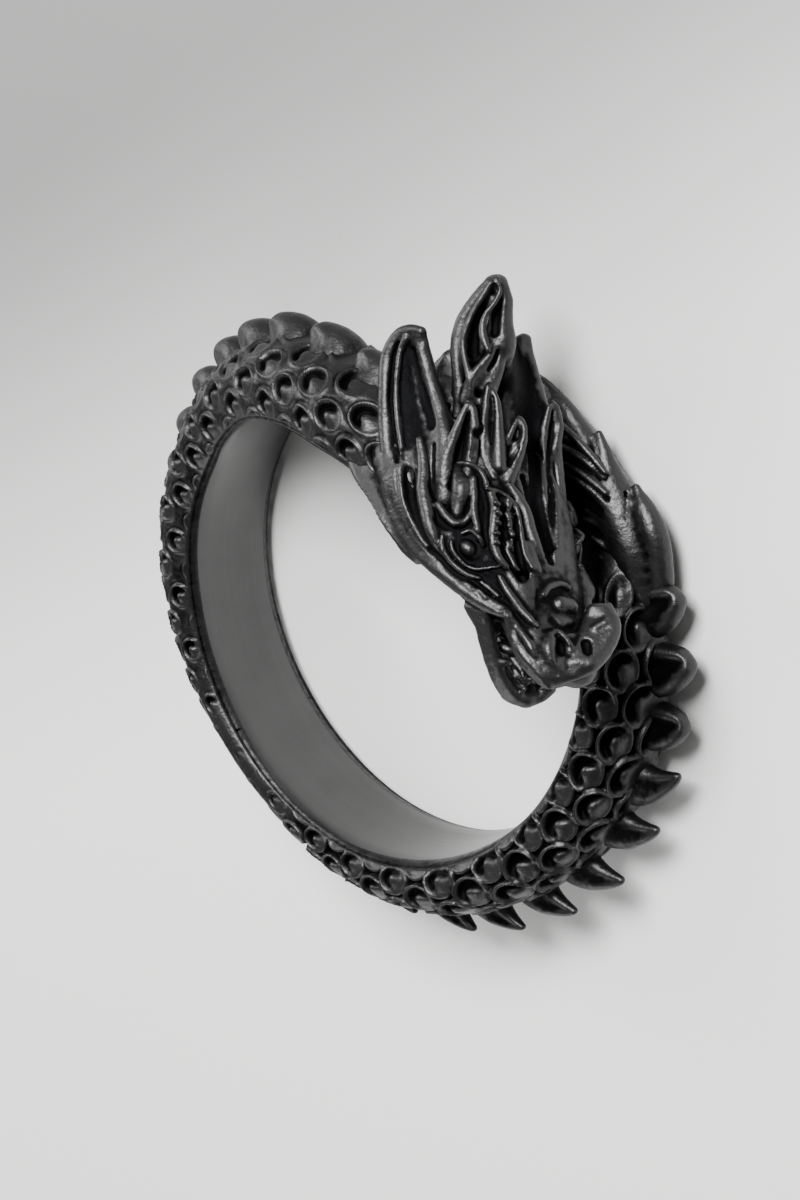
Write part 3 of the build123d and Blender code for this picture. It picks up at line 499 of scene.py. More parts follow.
        (-0.65, 1.85, -1, 0.3), (0.95, 2, -0.45, 0.34), (2.1, 1.75, -0.4, 0.34), (3.25, 1.65, -0.4, 0.26),
    ]),
    Stroke("far slope", FACE, LAY, 0.3, [
        (3.3, 0.65, -1.9, 0.35), (4, 0.7, -2.1, 0.5), (4.8, 0.95, -2.1, 0.5),
    ]),
    Stroke("lip ridge one", FACE, LAY_BOTH, 0.08, [
        (4.2, 1.2, 1.95, 0.1), (4.65, 1.2, 1.85, 0.13), (5.2, 1.3, 1.7, 0.15), (5.75, 1.45, 1.6, 0.16),
        (6.25, 1.65, 1.45, 0.15), (6.55, 1.75, 1.3, 0.09),
    ]),
    Stroke("lip line", FACE, CUT_BOTH, 0.03, [
        (4.4, 1.4, 1.9, 0.05), (5.1, 1.55, 1.9, 0.06), (5.6, 1.7, 1.75, 0.06), (6.1, 1.85, 1.6, 0.06),
        (6.3, 1.75, 1.3, 0.04),
    ]),
    Stroke("lip ridge two", FACE, LAY_BOTH, 0.1, [
        (5.65, 1.15, 2.1, 0.12), (6.15, 1.15, 1.8, 0.15), (6.75, 1.35, 1.75, 0.15),
        (7.3, 1.45, 1.65, 0.15), (7.6, 1.45, 1.6, 0.09),
    ]),
    Stroke("lip trough", FACE, CUT_BOTH, 0.08, [
        (5.05, 1, 1.95, 0.08), (5.65, 1.3, 1.9, 0.09), (6.35, 1.45, 1.75, 0.09), (6.95, 1.6, 1.6, 0.08),
    ]),
    Stroke("lip edge", FACE, LAY, 0.14, [
        (5.85, 1.2, 2.1, 0.18), (6.5, 0.9, 1.85, 0.18), (7.2, 1, 1.8, 0.18), (7.8, 1.1, 1.6, 0.18),
        (8.3, 1.15, 1.3, 0.2), (8.6, 1.05, 1.05, 0.16),
    ]),
    Stroke("nose bump", FACE, LAY, 0.14, [
        (5.7, 1.8, -0.05, 0.34), (5.8, 1.75, -0.5, 0.34),
    ]),
    Stroke("nose side bump", FACE, LAY, 0.14, [
        (5.4, 1.5, -1.7, 0.2), (5.95, 1.65, -1.45, 0.2),
    ]),
    Stroke("nose curl", FACE, LAY, 0.07, [
        (5.3, 1.85, 0.65, 0.14), (5.05, 1.9, 0.4, 0.13), (4.9, 1.9, -0.05, 0.13), (4.9, 1.9, -0.4, 0.12),
        (5.05, 1.85, -0.7, 0.1),
    ]),
    Stroke("curl groove", FACE, CUT, 0.05, [
        (5.35, 1.9, 0.35, 0.07), (5.2, 1.9, -0.1, 0.08), (5.25, 1.8, -0.65, 0.06),
    ]),
    Stroke("nose side groove", FACE, CUT, 0.05, [
        (5.05, 1.8, 0.8, 0.08), (5.45, 1.75, 0.9, 0.1), (5.7, 1.7, 1, 0.07),
    ]),
    Stroke("nose pad", FACE, CUT, 0.12, [
        (6.35, 1.9, 0.6, 0.15), (6.75, 2.05, 0.35, 0.2), (6.75, 2, -0.35, 0.2),
    ]),
    Stroke("cheek pit", FACE, CUT, 0.1, [
        (4.3, 1.35, 1.05, 0.2), (4.45, 1.35, 1, 0.2),
    ]),
    Stroke("near wing", FACE, LAY, 0.1, [
        (7.2, 1.85, 1, 0.24), (7.55, 1.8, 1.15, 0.26), (8, 1.7, 1.1, 0.2),
    ]),
    Stroke("near wing rim", FACE, LAY, 0.06, [
        (6.95, 1.9, 1, 0.09), (6.9, 2, 0.65, 0.1), (7.2, 2.1, 0.45, 0.11), (7.5, 2.1, 0.3, 0.12),
    ]),
    Stroke("near nostril", FACE, CUT, 0.05, [
        (7.35, 1.9, 0.65, 0.18), (7.65, 1.9, 0.65, 0.2),
    ]),
    Stroke("near pit", FACE, CUT, 0.05, [
        (6.75, 1.8, 1.1, 0.09), (6.75, 1.85, 0.8, 0.1),
    ]),
    Stroke("septum", FACE, LAY, 0.07, [
        (7.7, 2, 0.3, 0.14), (7.6, 2.05, -0.05, 0.14), (7.35, 2.05, -0.4, 0.1),
    ]),
    Blade("far wing", FACE, LAY, 0.2, 0.0, [
        (6.15, 2.3, -1.1, 6.3, 2.6, -1.6, 0.2), (6.5, 2, -1, 6.85, 2.75, -1.55, 0.28),
        (7.1, 2, -0.6, 7.4, 2.65, -1.35, 0.32), (7.75, 1.95, -0.2, 7.9, 2.4, -0.95, 0.32),
        (8.15, 1.75, 0.2, 8.35, 2.2, -0.4, 0.3),
    ]),
    Stroke("far wing rim", FACE, LAY, 0.1, [
        (6.9, 2.65, -1.55, 0.16), (6.5, 2.7, -1.65, 0.15), (6.1, 2.65, -1.7, 0.1),
    ]),
    Stroke("far wing bump", FACE, LAY, 0.12, [
        (7, 2.5, -0.8, 0.16), (6.9, 2.75, -1.15, 0.18),
    ]),
    Stroke("far nostril", FACE, CUT, 0.05, [
        (7.55, 2.35, -0.25, 0.2), (7.9, 2.35, -0.2, 0.18),
    ]),
    Stroke("lip roll", FACE, LAY, 0.15, [
        (8.25, 1.2, 0.95, 0.24), (8.45, 1.35, 0.6, 0.26), (8.5, 1.65, 0.2, 0.28), (8.4, 1.95, -0.3, 0.28),
        (8.1, 2.3, -0.75, 0.28), (7.65, 2.55, -1.15, 0.26), (7.2, 2.75, -1.4, 0.22),
    ]),
    Stroke("lip dimple", FACE, CUT, 0.1, [
        (8.15, 1.7, 1.25, 0.12), (8.5, 1.65, 1, 0.14),
    ]),
    Stroke("fang", FACE, LAY, 0.06, [
        (8, 1.15, 1.2, 0.22), (8.45, 1.05, 1.1, 0.26), (8.7, 1.05, 1, 0.16),
    ]),
    Blade("jaw wall", FACE, LAY_BOTH, 0.12, 0.0, [
        (4.55, -0.75, 2.1, 5.15, -0.05, 2.05, 0.26), (5.3, -0.8, 1.9, 5.6, -0.3, 1.9, 0.2),
        (5.95, -1.05, 1.7, 6.15, -0.6, 1.7, 0.2), (6.65, -1.4, 1.4, 6.85, -0.95, 1.4, 0.2),
        (7.35, -1.75, 1, 7.55, -1.3, 0.95, 0.2), (7.9, -1.9, 0.5, 8, -1.45, 0.5, 0.22),
        (8.15, -1.75, 0, 8.2, -1.45, 0, 0.22),
    ]),
    Stroke("jaw hinge", FACE, LAY_BOTH, 0.3, [
        (4.75, -0.9, 1.4, 0.6), (4.85, -1.65, 0.6, 0.6), (5.3, -1.75, 0.3, 0.5),
    ]),
    Stroke("jaw floor", FACE, LAY, 0.25, [
        (5.1, -1.65, 0.6, 0.5), (5.75, -1.8, 0.3, 0.42), (6.55, -1.8, 0.1, 0.42),
        (7.3, -1.75, -0.1, 0.36), (7.9, -1.5, -0.2, 0.26),
    ]),
    Stroke("chin", FACE, LAY, 0.15, [
        (7.7, -2.05, 0.5, 0.24), (8.1, -1.7, 0, 0.26), (8.2, -1.3, -0.45, 0.24), (8, -1, -0.85, 0.2),
    ]),
    Stroke("tongue", FACE, LAY, 0.06, [
        (5.85, -1.1, 0.75, 0.22), (6.55, -1.05, 0.6, 0.3), (7.15, -0.95, 0.45, 0.34),
        (7.6, -0.95, 0.3, 0.24),
    ]),
    Stroke("tongue side", FACE, LAY, 0.08, [
        (6.95, -0.9, 0.2, 0.24), (7.35, -0.95, 0, 0.24),
    ]),
    Stroke("tongue groove", FACE, CUT, 0.06, [
        (6.75, -1, 0.85, 0.06), (7.3, -0.85, 0.7, 0.07), (7.75, -0.9, 0.45, 0.06),
    ]),
    Stroke("tongue bump", FACE, LAY, 0.05, [
        (7, -0.95, 0.75, 0.09), (7.05, -0.95, 0.75, 0.09),
    ]),
    Stroke("tongue bump", FACE, LAY, 0.05, [
        (7.55, 0.45, 1.55, 0.09), (7.6, 0.5, 1.55, 0.09),
    ]),
    Stroke("tongue bump", FACE, LAY, 0.05, [
        (7.85, 0.8, 1.6, 0.09), (7.9, 0.85, 1.6, 0.09),
    ]),
    Stroke("tongue bump", FACE, LAY, 0.05, [
        (7.4, -1.1, 0.7, 0.09), (7.45, -1.1, 0.65, 0.09),
    ]),
    Stroke("tongue bump", FACE, LAY, 0.05, [
        (7.55, -0.75, 0.55, 0.09), (7.6, -0.8, 0.5, 0.09),
    ]),
    Stroke("tongue bump", FACE, LAY, 0.05, [
        (7.7, -0.7, 0.25, 0.09), (7.7, -0.8, 0.15, 0.09),
    ]),
    Stroke("jaw tooth one", FACE, LAY_BOTH, 0.06, [
        (5.6, -0.75, 1.9, 0.17), (5.8, -0.55, 1.75, 0.22), (5.85, -0.4, 1.5, 0.14),
    ]),
    Stroke("jaw tooth two", FACE, LAY_BOTH, 0.06, [
        (6.75, -1.05, 1.45, 0.17), (6.9, -0.85, 1.3, 0.21), (6.95, -0.65, 1.15, 0.11),
    ]),
    Stroke("chin tooth", FACE, LAY_BOTH, 0.04, [
        (8.05, -1.35, 0.45, 0.12), (7.95, -1, 0.45, 0.1),
    ]),
    Stroke("gum", FACE, LAY, 0.06, [
        (6.15, -1, 1.1, 0.2), (6.4, -0.75, 0.9, 0.24), (6.55, -0.65, 0.7, 0.18),
    ]),
    Blade("cheek leaf", FACE, LAY, 0.1, 0.05, [
        (-3.7, -3.05, 3.8, -3.7, -2.9, 3.75, 0.1), (-2.85, -3, 3.9, -2.85, -2.4, 3.7, 0.2),
        (-1.7, -2.75, 3.9, -1.75, -2.05, 3.65, 0.28), (-0.5, -2.45, 3.8, -0.6, -1.8, 3.55, 0.32),
        (0.65, -2.05, 3.65, 0.5, -1.65, 3.45, 0.32),
    ]),
    Blade("fringe leaf", FACE, LAY, 0.1, 0.05, [
        (-2, -3.05, 3.9, -1.95, -2.95, 3.9, 0.08), (-0.95, -2.8, 3.95, -0.95, -2.45, 3.8, 0.2),
        (0.15, -2.3, 3.9, 0.05, -2.05, 3.7, 0.26), (1.2, -2, 3.6, 1.15, -1.65, 3.5, 0.26),
        (2.2, -1.55, 3.3, 2.15, -1.3, 3.2, 0.22),
    ]),
]

# Tail tuft: angle round the ring, radius from the bore's axis, height, radius of the stroke
TUFT_STROKES = [
    Stroke("inner bundle", TUFT, LAY, 0.5, [
        (10, 11.0, -1.9, 1.0), (24, 11.5, -2.1, 1.1), (36, 11.5, -2.15, 1.1), (48, 11.3, -2.2, 1.1),
        (60, 11.1, -2.2, 1.0), (70, 10.9, -2.3, 0.8),
    ]),
    Stroke("outer bundle", TUFT, LAY, 0.5, [
        (16, 12.2, -2.0, 0.8), (28, 12.5, -2.0, 0.9), (38, 12.3, -2.0, 0.9), (50, 12.2, -2.0, 0.8),
        (60, 12.2, -2.1, 0.65), (68, 12.15, -2.1, 0.5),
    ]),
    Stroke("smooth crown", TUFT, LAY, 0.4, [
        (20, 12.4, -1.7, 0.75), (28, 12.6, -1.6, 0.95), (37, 12.55, -1.6, 0.85), (46, 12.5, -1.7, 0.65),
        (56, 12.4, -1.9, 0.50), (64, 12.3, -2.1, 0.40),
    ]),
    Stroke("low leaf", TUFT, LAY, 0.3, [
        (17, 13.0, -1.9, 0.40), (24, 13.5, -1.75, 0.50), (29, 13.75, -1.7, 0.55), (33, 13.75, -1.75, 0.46),
        (36, 13.7, -1.85, 0.26), (37.5, 13.7, -1.9, 0.15),
    ]),
    Stroke("second leaf", TUFT, LAY, 0.3, [
        (30, 12.9, -1.65, 0.42), (36, 13.0, -1.6, 0.42), (42, 13.1, -1.65, 0.38), (46, 13.35, -1.75, 0.25),
        (48.5, 13.5, -1.85, 0.14),
    ]),
    Stroke("third leaf", TUFT, LAY, 0.3, [
        (42, 12.7, -1.7, 0.38), (48, 12.85, -1.7, 0.38), (55, 12.95, -1.8, 0.32), (60, 12.95, -1.9, 0.22),
        (63, 12.95, -2.0, 0.12),
    ]),
    Stroke("top leaf", TUFT, LAY, 0.15, [
        (50, 12.2, -1.8, 0.42), (58, 12.4, -1.9, 0.38), (66, 12.5, -2.05, 0.25), (71, 12.6, -2.2, 0.10),
    ]),
    Stroke("leaf fold", TUFT, CUT, 0.05, [
        (37.5, 13.4, -1.50, 0.07), (33, 13.15, -1.10, 0.06), (28, 13.1, -1.05, 0.05), (23, 13.0, -1.2, 0.04),
    ]),
    Stroke("leaf fold", TUFT, CUT, 0.05, [
        (48.5, 13.25, -1.50, 0.07), (45, 13.0, -1.20, 0.07), (41, 12.9, -1.1, 0.05), (37, 12.85, -1.0, 0.04),
    ]),
    Stroke("leaf fold", TUFT, CUT, 0.05, [
        (63, 12.75, -1.70, 0.06), (58, 12.7, -1.35, 0.06), (52, 12.6, -1.2, 0.04),
    ]),
    Stroke("root pit", TUFT, CUT, 0.06, [(23, 12.0, -0.95, 0.14), (21.5, 12.4, -1.0, 0.10)]),
    Stroke("root pit", TUFT, CUT, 0.06, [(20, 11.7, -0.95, 0.12), (19, 12.1, -1.0, 0.10)]),
    Stroke("hollow", TUFT, CUT, 0.06, [
        (36.6, 12.3, -0.90, 0.30), (40.2, 11.7, -1.0, 0.45), (45, 11.0, -1.0, 0.42),
    ]),
]
# Strands of the tuft: angle and radius at the root, at the middle and at the tip
STRANDS = [
    ((42, 13.5), (46.5, 13.3), (53, 13.0)), ((41.5, 13.3), (45.8, 12.9), (52, 12.1)),
    ((39, 13.0), (43.8, 12.45), (50.5, 11.6)), ((36.8, 12.85), (41.5, 12.3), (49, 11.3)),
    ((32.5, 12.45), (36, 11.5), (40.5, 10.2)), ((27, 12.5), (32.2, 11.35), (39, 10.1)),
    ((25.2, 12.1), (29.6, 11.05), (36.5, 10.0)), ((24.5, 11.5), (28, 10.65), (33, 10.0)),
]
STRAND_HEIGHT = -0.95
STRAND_RADIUS = 0.17
STRAND_SHARES = (0.7, 1.0, 0.9)     # of that radius at the root, at the middle and at the tip
GAP_SHARE = 0.9          # radius of the gap between two strands, as a share of the strand's
GAP_RISE = 0.05          # middle of the gap above that of the strands
STRAND_SOFTNESS = 0.06

# The head's own frame in the ring's
HEAD_CENTRE = np.array((7.85, 8.92, 3.2))
HEAD_TURN = math.radians(-47.64)
HEAD_LIFT = math.radians(18.0)
FACING = np.array((0.32, 0.73, 0.60))    # forward, up and near: the way that the head's blades face
RAIL_SPACING = 0.22      # largest gap between two rails of a blade

# Boxes of clay: two opposite corners for each part
CLAY_BLOCKS = {
    FACE: ((1.5, 0.2, -3.2), (15.8, 14.5, 8.6)),
    CREST: ((-3.0, 5.0, -1.5), (10.5, 18.3, 8.6)),
    TUFT: ((1.5, -1.0, -3.4), (15.5, 14.5, 1.0)),
}
EMPTY = 9.0              # distance that stands for clay far away
CAST_GRAIN = 0.32        # width of the bumps of the cast skin
HEAD_ROUGHNESS, HEAD_SEED = 0.018, 11
TUFT_ROUGHNESS, TUFT_SEED = 0.02, 5
# Painted shade in folds and hollows, laid over the dark plating there: a narrow fold and a wide hollow count
# as a recess. For each: size of the box that is looked at round a place, share of metal in it on plain skin,
# and weight
FINE_REACH, FINE_EVEN, FINE_WEIGHT = 0.35, 0.5, 4.5
WIDE_REACH, WIDE_EVEN, WIDE_WEIGHT = 1.3, 0.42, 3.2
PLAIN_RECESS = 0.36      # recess of plain skin

# Places of the head given painted shade, such as the ear's hollow and the far side of the crest: forward, up,
# near, radius and share
PAINTED_SHADE_PLACES = [
    (-5.4, 0.9, 2.9, 0.6, 0.6), (-4.6, 0.6, 2.85, 0.75, 0.35), (-3.7, 0.5, 2.85, 0.85, 0.25),
    (-2.8, 0.4, 2.85, 0.85, 0.25), (-1.9, 0.3, 2.85, 0.8, 0.3),
    (-4.4, 2.2, -1.0, 1.0, 0.6), (-3.2, 1.9, -0.9, 1.2, 0.6), (-2.0, 1.6, -0.8, 1.2, 0.6),
    (-0.6, 1.5, -0.8, 1.2, 0.5), (0.8, 1.7, -0.8, 1.1, 0.5), (2.0, 1.6, -0.8, 1.0, 0.4),
    (-5.6, 4.0, 0.3, 0.6, 0.4), (-4.6, 3.4, 0.1, 0.7, 0.4), (-3.6, 2.6, 0.0, 0.8, 0.5),
]

# Skin of the body
FLANK_COLUMNS = 78       # points of a flank's section
BORE_COLUMNS = 5
BODY_STEP = 0.066        # millimetres along the crown
WIDEST = 0.42            # share of the wall where the flank is widest
FLANK_POWER = 2.2        # of the curve from the crown to the widest place
TUCK_POWER = 2.4         # of the curve from there to the bore's edge
FAR_TUCK = 0.26          # how far that edge draws in on the far side, as a share of the flank
CORNER_REACH = 5         # degrees over which the run's corners are rounded off
NEAR_CALM = (4.15, 4.60)    # rows between which the relief dies out before the bore's edge, on the near side
FAR_CALM = (3.30, 4.10)     # and on the far side
SHOWN_BORE = 105.0       # angle from which the bore's wall is turned smooth
PIT_LEAN = 30.0          # degrees from the ring's +X to the side where each scale's pit is shallow
BODY_PARTS = {"dragon_neck": (BODY_RUN[0].angle, 222), "dragon_body": (222, BODY_RUN[-1].angle)}

# A scale: place and half width of each form, as shares of the way from its middle to its rim
RIM_WIDTH = 0.12
PIT_PLACE, PIT_WIDTH = 0.62, 0.25
STEP_PLACE, STEP_WIDTH = 1.22, 0.10
BEAD_WIDTH = 0.5
HALF_ROW = 3.0           # half height of a scale in rows, for each half length in pitches
LINE_ROW, LINE_WIDTH = 4.68, 0.05    # the fine line along the bore's edge, in rows

SPINE_SIDES = 32         # points round a spine

# Wall under the head
SADDLE_BEHIND = 0.02     # its bore side, out from the body's
SADDLE_FOOT = 0.7        # inner edge of its underside, out from the bore
SADDLE_OUTER = 11.5      # its outer side, from the bore's axis
SADDLE_ROUND = 0.5       # rounding of its two top edges
SADDLE_LEVELS = 260      # sections along it
SADDLE_STEPS = 24        # points on its bore side
CORNER_STEPS = 7         # points on each rounding

# Camera, worked out from the ellipse of the bore in the photograph
CAMERA_PLACE = (111.57, 73.3, 120.75)
CAMERA_RIGHT = (0.7345, 0.0, -0.6786)
CAMERA_UP = (-0.2736, 0.9152, -0.2961)
CAMERA_BACK = (0.6211, 0.4031, 0.6721)
FOCAL_PIXELS = 4363.6    # of a picture 1200 pixels high
PICTURE_HEIGHT = 1200
SENSOR = 36.0
# Lights: name, place, side and power
LIGHTS = [
    ("key", (45, 155, 175), 90, 1.6),
    ("rim", (-190, 60, 100), 120, 0.5),
    ("fill", (-60, -190, 110), 140, 0.3),
]
SKY = 0.27               # strength of the even light from all sides
FLOOR_SIDE = 900.0       # half the floor's side


class RingSizes(bpy.types.PropertyGroup):
    """Sizes of the ring."""
    bore_radius: FloatProperty(
        name="Bore radius", description="Radius of the finger bore", default=9.9 * MM,
        unit="LENGTH", precision=5)
    back_radius: FloatProperty(
        name="Back radius", description="Crown of the body between two spines", default=12.75 * MM,
        unit="LENGTH", precision=5)
    flank: FloatProperty(
        name="Flank", description="Middle plane to the widest point of the flank", default=2.75 * MM,
        unit="LENGTH", precision=5)
    rest_height: FloatProperty(
        name="Rest height", description="Height of the face that the ring lies on", default=-3.0 * MM,
        unit="LENGTH", precision=5)
    scale_height: FloatProperty(
        name="Scale height", description="Rim of a scale above the flank", default=0.15 * MM,
        unit="LENGTH", precision=5)
    pit_depth: FloatProperty(
        name="Pit depth", description="Depth of the pit inside a scale's rim", default=0.34 * MM,
        unit="LENGTH", precision=5)
    spine_scale: FloatProperty(
        name="Spine size", description="Size of the back spines against the real ones", default=1.0)
    clay_pitch: FloatProperty(
        name="Clay pitch", description="Fineness of the sculpted head and tuft", default=0.07 * MM,
        unit="LENGTH", precision=5)


class RingFinish(bpy.types.PropertyGroup):
    """Colours of the ring and of the stage."""
    metal: FloatVectorProperty(
        name="Metal", description="Polished high places", subtype="COLOR", size=3,
        default=(0.044, 0.044, 0.044), min=0, max=1)
    # Colour of the dark plating, also used as painted shade in the recesses.
    patina_and_painted_shade: FloatVectorProperty(
        name="Patina", description="Dark plating in the recesses", subtype="COLOR", size=3,
        default=(0.004, 0.004, 0.0045), min=0, max=1)
    roughness: FloatProperty(
        name="Roughness", description="Roughness of the polished places", default=0.44, min=0, max=1)
    floor: FloatVectorProperty(
        name="Floor", description="Colour of the floor", subtype="COLOR", size=3,
        default=(0.80, 0.80, 0.79), min=0, max=1)


def sizes():
    return bpy.context.scene.dragon_ring_sizes


def finish():
    return bpy.context.scene.dragon_ring_finish


class Rule:
    """A number in a node tree, so that a rule can be written as a sum."""

    def __init__(self, tree, socket):
        self.tree = tree
        self.socket = socket

    def into(self, socket):
        self.tree.links.new(self.socket, socket)

    def math(self, operation, *others):
        node = self.tree.nodes.new("ShaderNodeMath")
        node.operation = operation
        for slot, value in zip(node.inputs, (self, *others)):
            if isinstance(value, Rule):
                value.into(slot)
            else:
                slot.default_value = value
        return Rule(self.tree, node.outputs[0])

    def __add__(self, other):
        return self.math("ADD", other)

    def __sub__(self, other):
        return self.math("SUBTRACT", other)

    def __mul__(self, other):
        return self.math("MULTIPLY", other)

    def __truediv__(self, other):
        return self.math("DIVIDE", other)

    def bell(self, half_width=1.0):
        """1 where the number is 0, and near 0 from two half widths on."""
        share = self / half_width
        return (share * share * -1.0).math("EXPONENT")

    def ramp(self, low, high, start=0.0, end=1.0):
        """A smooth step from start to end."""
        node = self.tree.nodes.new("ShaderNodeMapRange")
        node.interpolation_type = "SMOOTHSTEP"
        self.into(node.inputs["Value"])
        node.inputs["From Min"].default_value = low
        node.inputs["From Max"].default_value = high
        node.inputs["To Min"].default_value = start
        node.inputs["To Max"].default_value = end
        return Rule(self.tree, node.outputs["Result"])


class Clay:
    """A block of clay on a grid of distances; strokes are laid or cut, then its skin is taken off."""

    def __init__(self, low, high, pitch):
        self.low = np.array(low, float)
        self.pitch = pitch
        self.count = np.ceil((np.array(high, float) - self.low) / pitch).astype(int) + 1
        self.field = np.full(self.count, EMPTY, np.float32)
        self.axes = [(self.low[k] + pitch * np.arange(self.count[k])).astype(np.float32) for k in range(3)]

    def window(self, low, high):
        """Slices and grid places of the block between two corners."""
        first = np.clip(np.floor((low - self.low) / self.pitch).astype(int), 0, self.count)
        last = np.clip(np.ceil((high - self.low) / self.pitch).astype(int) + 1, 0, self.count)
        span = tuple(slice(a, b) for a, b in zip(first, np.maximum(last, first)))
        x, y, z = (self.axes[k][span[k]] for k in range(3))
        return span, x[:, None, None], y[None, :, None], z[None, None, :]

    def merge(self, span, distance, soft, cut):
        old = self.field[span]
        if cut:
            near = np.maximum(soft - np.abs(old + distance), 0) / soft
            self.field[span] = np.maximum(old, -distance) + near * near * soft / 4
        else:
            near = np.maximum(soft - np.abs(old - distance), 0) / soft
            self.field[span] = np.minimum(old, distance) - near * near * soft / 4

    def run(self, points, radii, soft, cut=False):
        """Round cones through points."""
        pad = radii.max() + soft + 3 * self.pitch
        whole = self.window(points.min(0) - pad, points.max(0) + pad)[0]
        best = np.full([s.stop - s.start for s in whole], EMPTY, np.float32)
        if best.size == 0:
            return
        for i in range(len(points) - 1):
            a, b = points[i], points[i + 1]
            pad = max(radii[i], radii[i + 1]) + soft + 3 * self.pitch
            span, x, y, z = self.window(np.minimum(a, b) - pad, np.maximum(a, b) + pad)
            inner = tuple(slice(s.start - w.start, s.stop - w.start) for s, w in zip(span, whole))
            way = b - a
            size = max(float(way @ way), 1e-9)
            t = np.clip(((x - a[0]) * way[0] + (y - a[1]) * way[1] + (z - a[2]) * way[2]) / size, 0, 1)
            gap = (x - a[0] - t * way[0]) ** 2 + (y - a[1] - t * way[1]) ** 2 + (z - a[2] - t * way[2]) ** 2
            distance = np.sqrt(gap) - (radii[i] + t * (radii[i + 1] - radii[i]))
            best[inner] = np.minimum(best[inner], distance)
        self.merge(whole, best, soft, cut)

    def work(self, stroke, to_ring):
        """Lays or cuts a stroke or a blade; to_ring turns its places into the ring's frame."""
        rows = smooth_rows(stroke.rows, 4)
        rails = [rows[:, :3]]
        if isinstance(stroke, Blade):
            across = rows[:, 3:6] - rows[:, :3]
            count = max(3, math.ceil(np.linalg.norm(across, axis=1).max() / RAIL_SPACING))
            rails = [rows[:, :3] + across * share - FACING * stroke.dish * 4 * share * (1 - share)
                     for share in np.linspace(0, 1, count)]
        cut = stroke.way in (CUT, CUT_BOTH)
        for sign in (1, -1) if stroke.way in (LAY_BOTH, CUT_BOTH) else (1,):
            for rail in rails:
                self.run(to_ring(rail * (1, 1, sign)), rows[:, -1], stroke.soft, cut)

    def roughen(self, amount, grain, seed):
        """The uneven skin of a casting: soft bumps of about the grain's width."""
        rng = np.random.default_rng(seed)
        for width, share in ((grain, 0.6), (grain / 2, 0.4)):
            coarse = rng.uniform(-1, 1, [int(n * self.pitch / width) + 3 for n in self.count])
            for axis in range(3):
                place = np.arange(self.count[axis]) * self.pitch / width
                cell = place.astype(int)
                part = (place - cell).reshape([-1 if k == axis else 1 for k in range(3)])
                part = part * part * (3 - 2 * part)
                coarse = coarse.take(cell, axis) * (1 - part) + coarse.take(cell + 1, axis) * part
            self.field += (amount * share * coarse).astype(np.float32)

    def keep(self, distance):
        """Cuts away all that lies outside a shape over the whole block."""
        self.field = np.maximum(self.field, distance.astype(np.float32))

    def grid(self):
        return self.axes[0][:, None, None], self.axes[1][None, :, None], self.axes[2][None, None, :]

    def fill_share(self, width):
        """Share of metal round each place, over a box of about that width."""
        share = np.clip(0.5 - self.field / self.pitch, 0, 1)
        cells = max(3, int(round(width / self.pitch)) | 1)
        for axis in (0, 1, 2, 0, 1, 2):
            edge = [(0, 0)] * 3
            edge[axis] = (cells // 2 + 1, cells // 2)
            total = np.cumsum(np.pad(share, edge, mode="edge"), axis=axis, dtype=np.float64)
            high = [slice(None)] * 3
            low = [slice(None)] * 3
            high[axis] = slice(cells, None)
            low[axis] = slice(0, -cells)
            share = ((total[tuple(high)] - total[tuple(low)]) / cells).astype(np.float32)
        return share

    def sample(self, values, points):
        """Values at points, between the eight grid places round each."""
        place = (points - self.low) / self.pitch
        cell = np.clip(np.floor(place).astype(int), 0, self.count - 2)
        part = np.clip(place - cell, 0, 1)
        total = np.zeros(len(points))
        for corner in np.ndindex(2, 2, 2):
            weight = np.prod(np.where(corner, part, 1 - part), axis=1)
            total += weight * values[tuple((cell + corner).T)]
        return total

    def skin(self):
        """Vertices and outward quads of the clay's surface, one vertex in each cell that it crosses."""
        for axis in range(3):
            self.field.swapaxes(0, axis)[[0, -1]] = EMPTY
        cells = np.array(self.field.shape) - 1
        inside = self.field < 0
        total = int(cells.prod())
        sums = np.zeros((3, total))
        hits = np.zeros(total)
        quads = []
        for axis in range(3):
            start = [slice(None)] * 3
            end = [slice(None)] * 3
            start[axis] = slice(0, -1)
            end[axis] = slice(1, None)
            index = np.stack(np.nonzero(inside[tuple(start)] != inside[tuple(end)]), 1)
            others = [k for k in range(3) if k != axis]
            index = index[np.all((index[:, others] > 0) & (index[:, others] < cells[others]), axis=1)]
            ahead = np.eye(3, dtype=int)[axis]
            here = self.field[tuple(index.T)]
            there = self.field[tuple((index + ahead).T)]
            place = index + np.outer(here / (here - there), ahead)
            quad = []
            for left, below in ((-1, -1), (0, -1), (0, 0), (-1, 0)):
                cell = index.copy()
                cell[:, (axis + 1) % 3] += left
                cell[:, (axis + 2) % 3] += below
                flat = np.ravel_multi_index(tuple(cell.T), tuple(cells))
                quad.append(flat)
                hits += np.bincount(flat, minlength=total)
                for k in range(3):
                    sums[k] += np.bincount(flat, place[:, k], total)
            quad = np.stack(quad, 1)
            quad[here > 0] = quad[here > 0][:, ::-1]
            quads.append(quad)
        used = np.nonzero(hits)[0]
        number = np.zeros(total, int)
        number[used] = np.arange(len(used))
        vertices = self.low + self.pitch * (sums[:, used] / hits[used]).T
        return largest_part(vertices, number[np.concatenate(quads)])


def largest_part(vertices, quads):
    """The largest joined part of a mesh; crumbs and bubbles that touch it nowhere are left out."""
    label = np.arange(len(vertices))
    changed = True
    while changed:
        least = label[quads].min(1)
        joined = label.copy()
        for corner in quads.T:
            np.minimum.at(joined, corner, least)
        joined = joined[joined]
        changed = not np.array_equal(joined, label)
        label = joined
    kept = label == np.bincount(label).argmax()
    number = np.cumsum(kept) - 1
    return vertices[kept], number[quads[kept[quads[:, 0]]]]


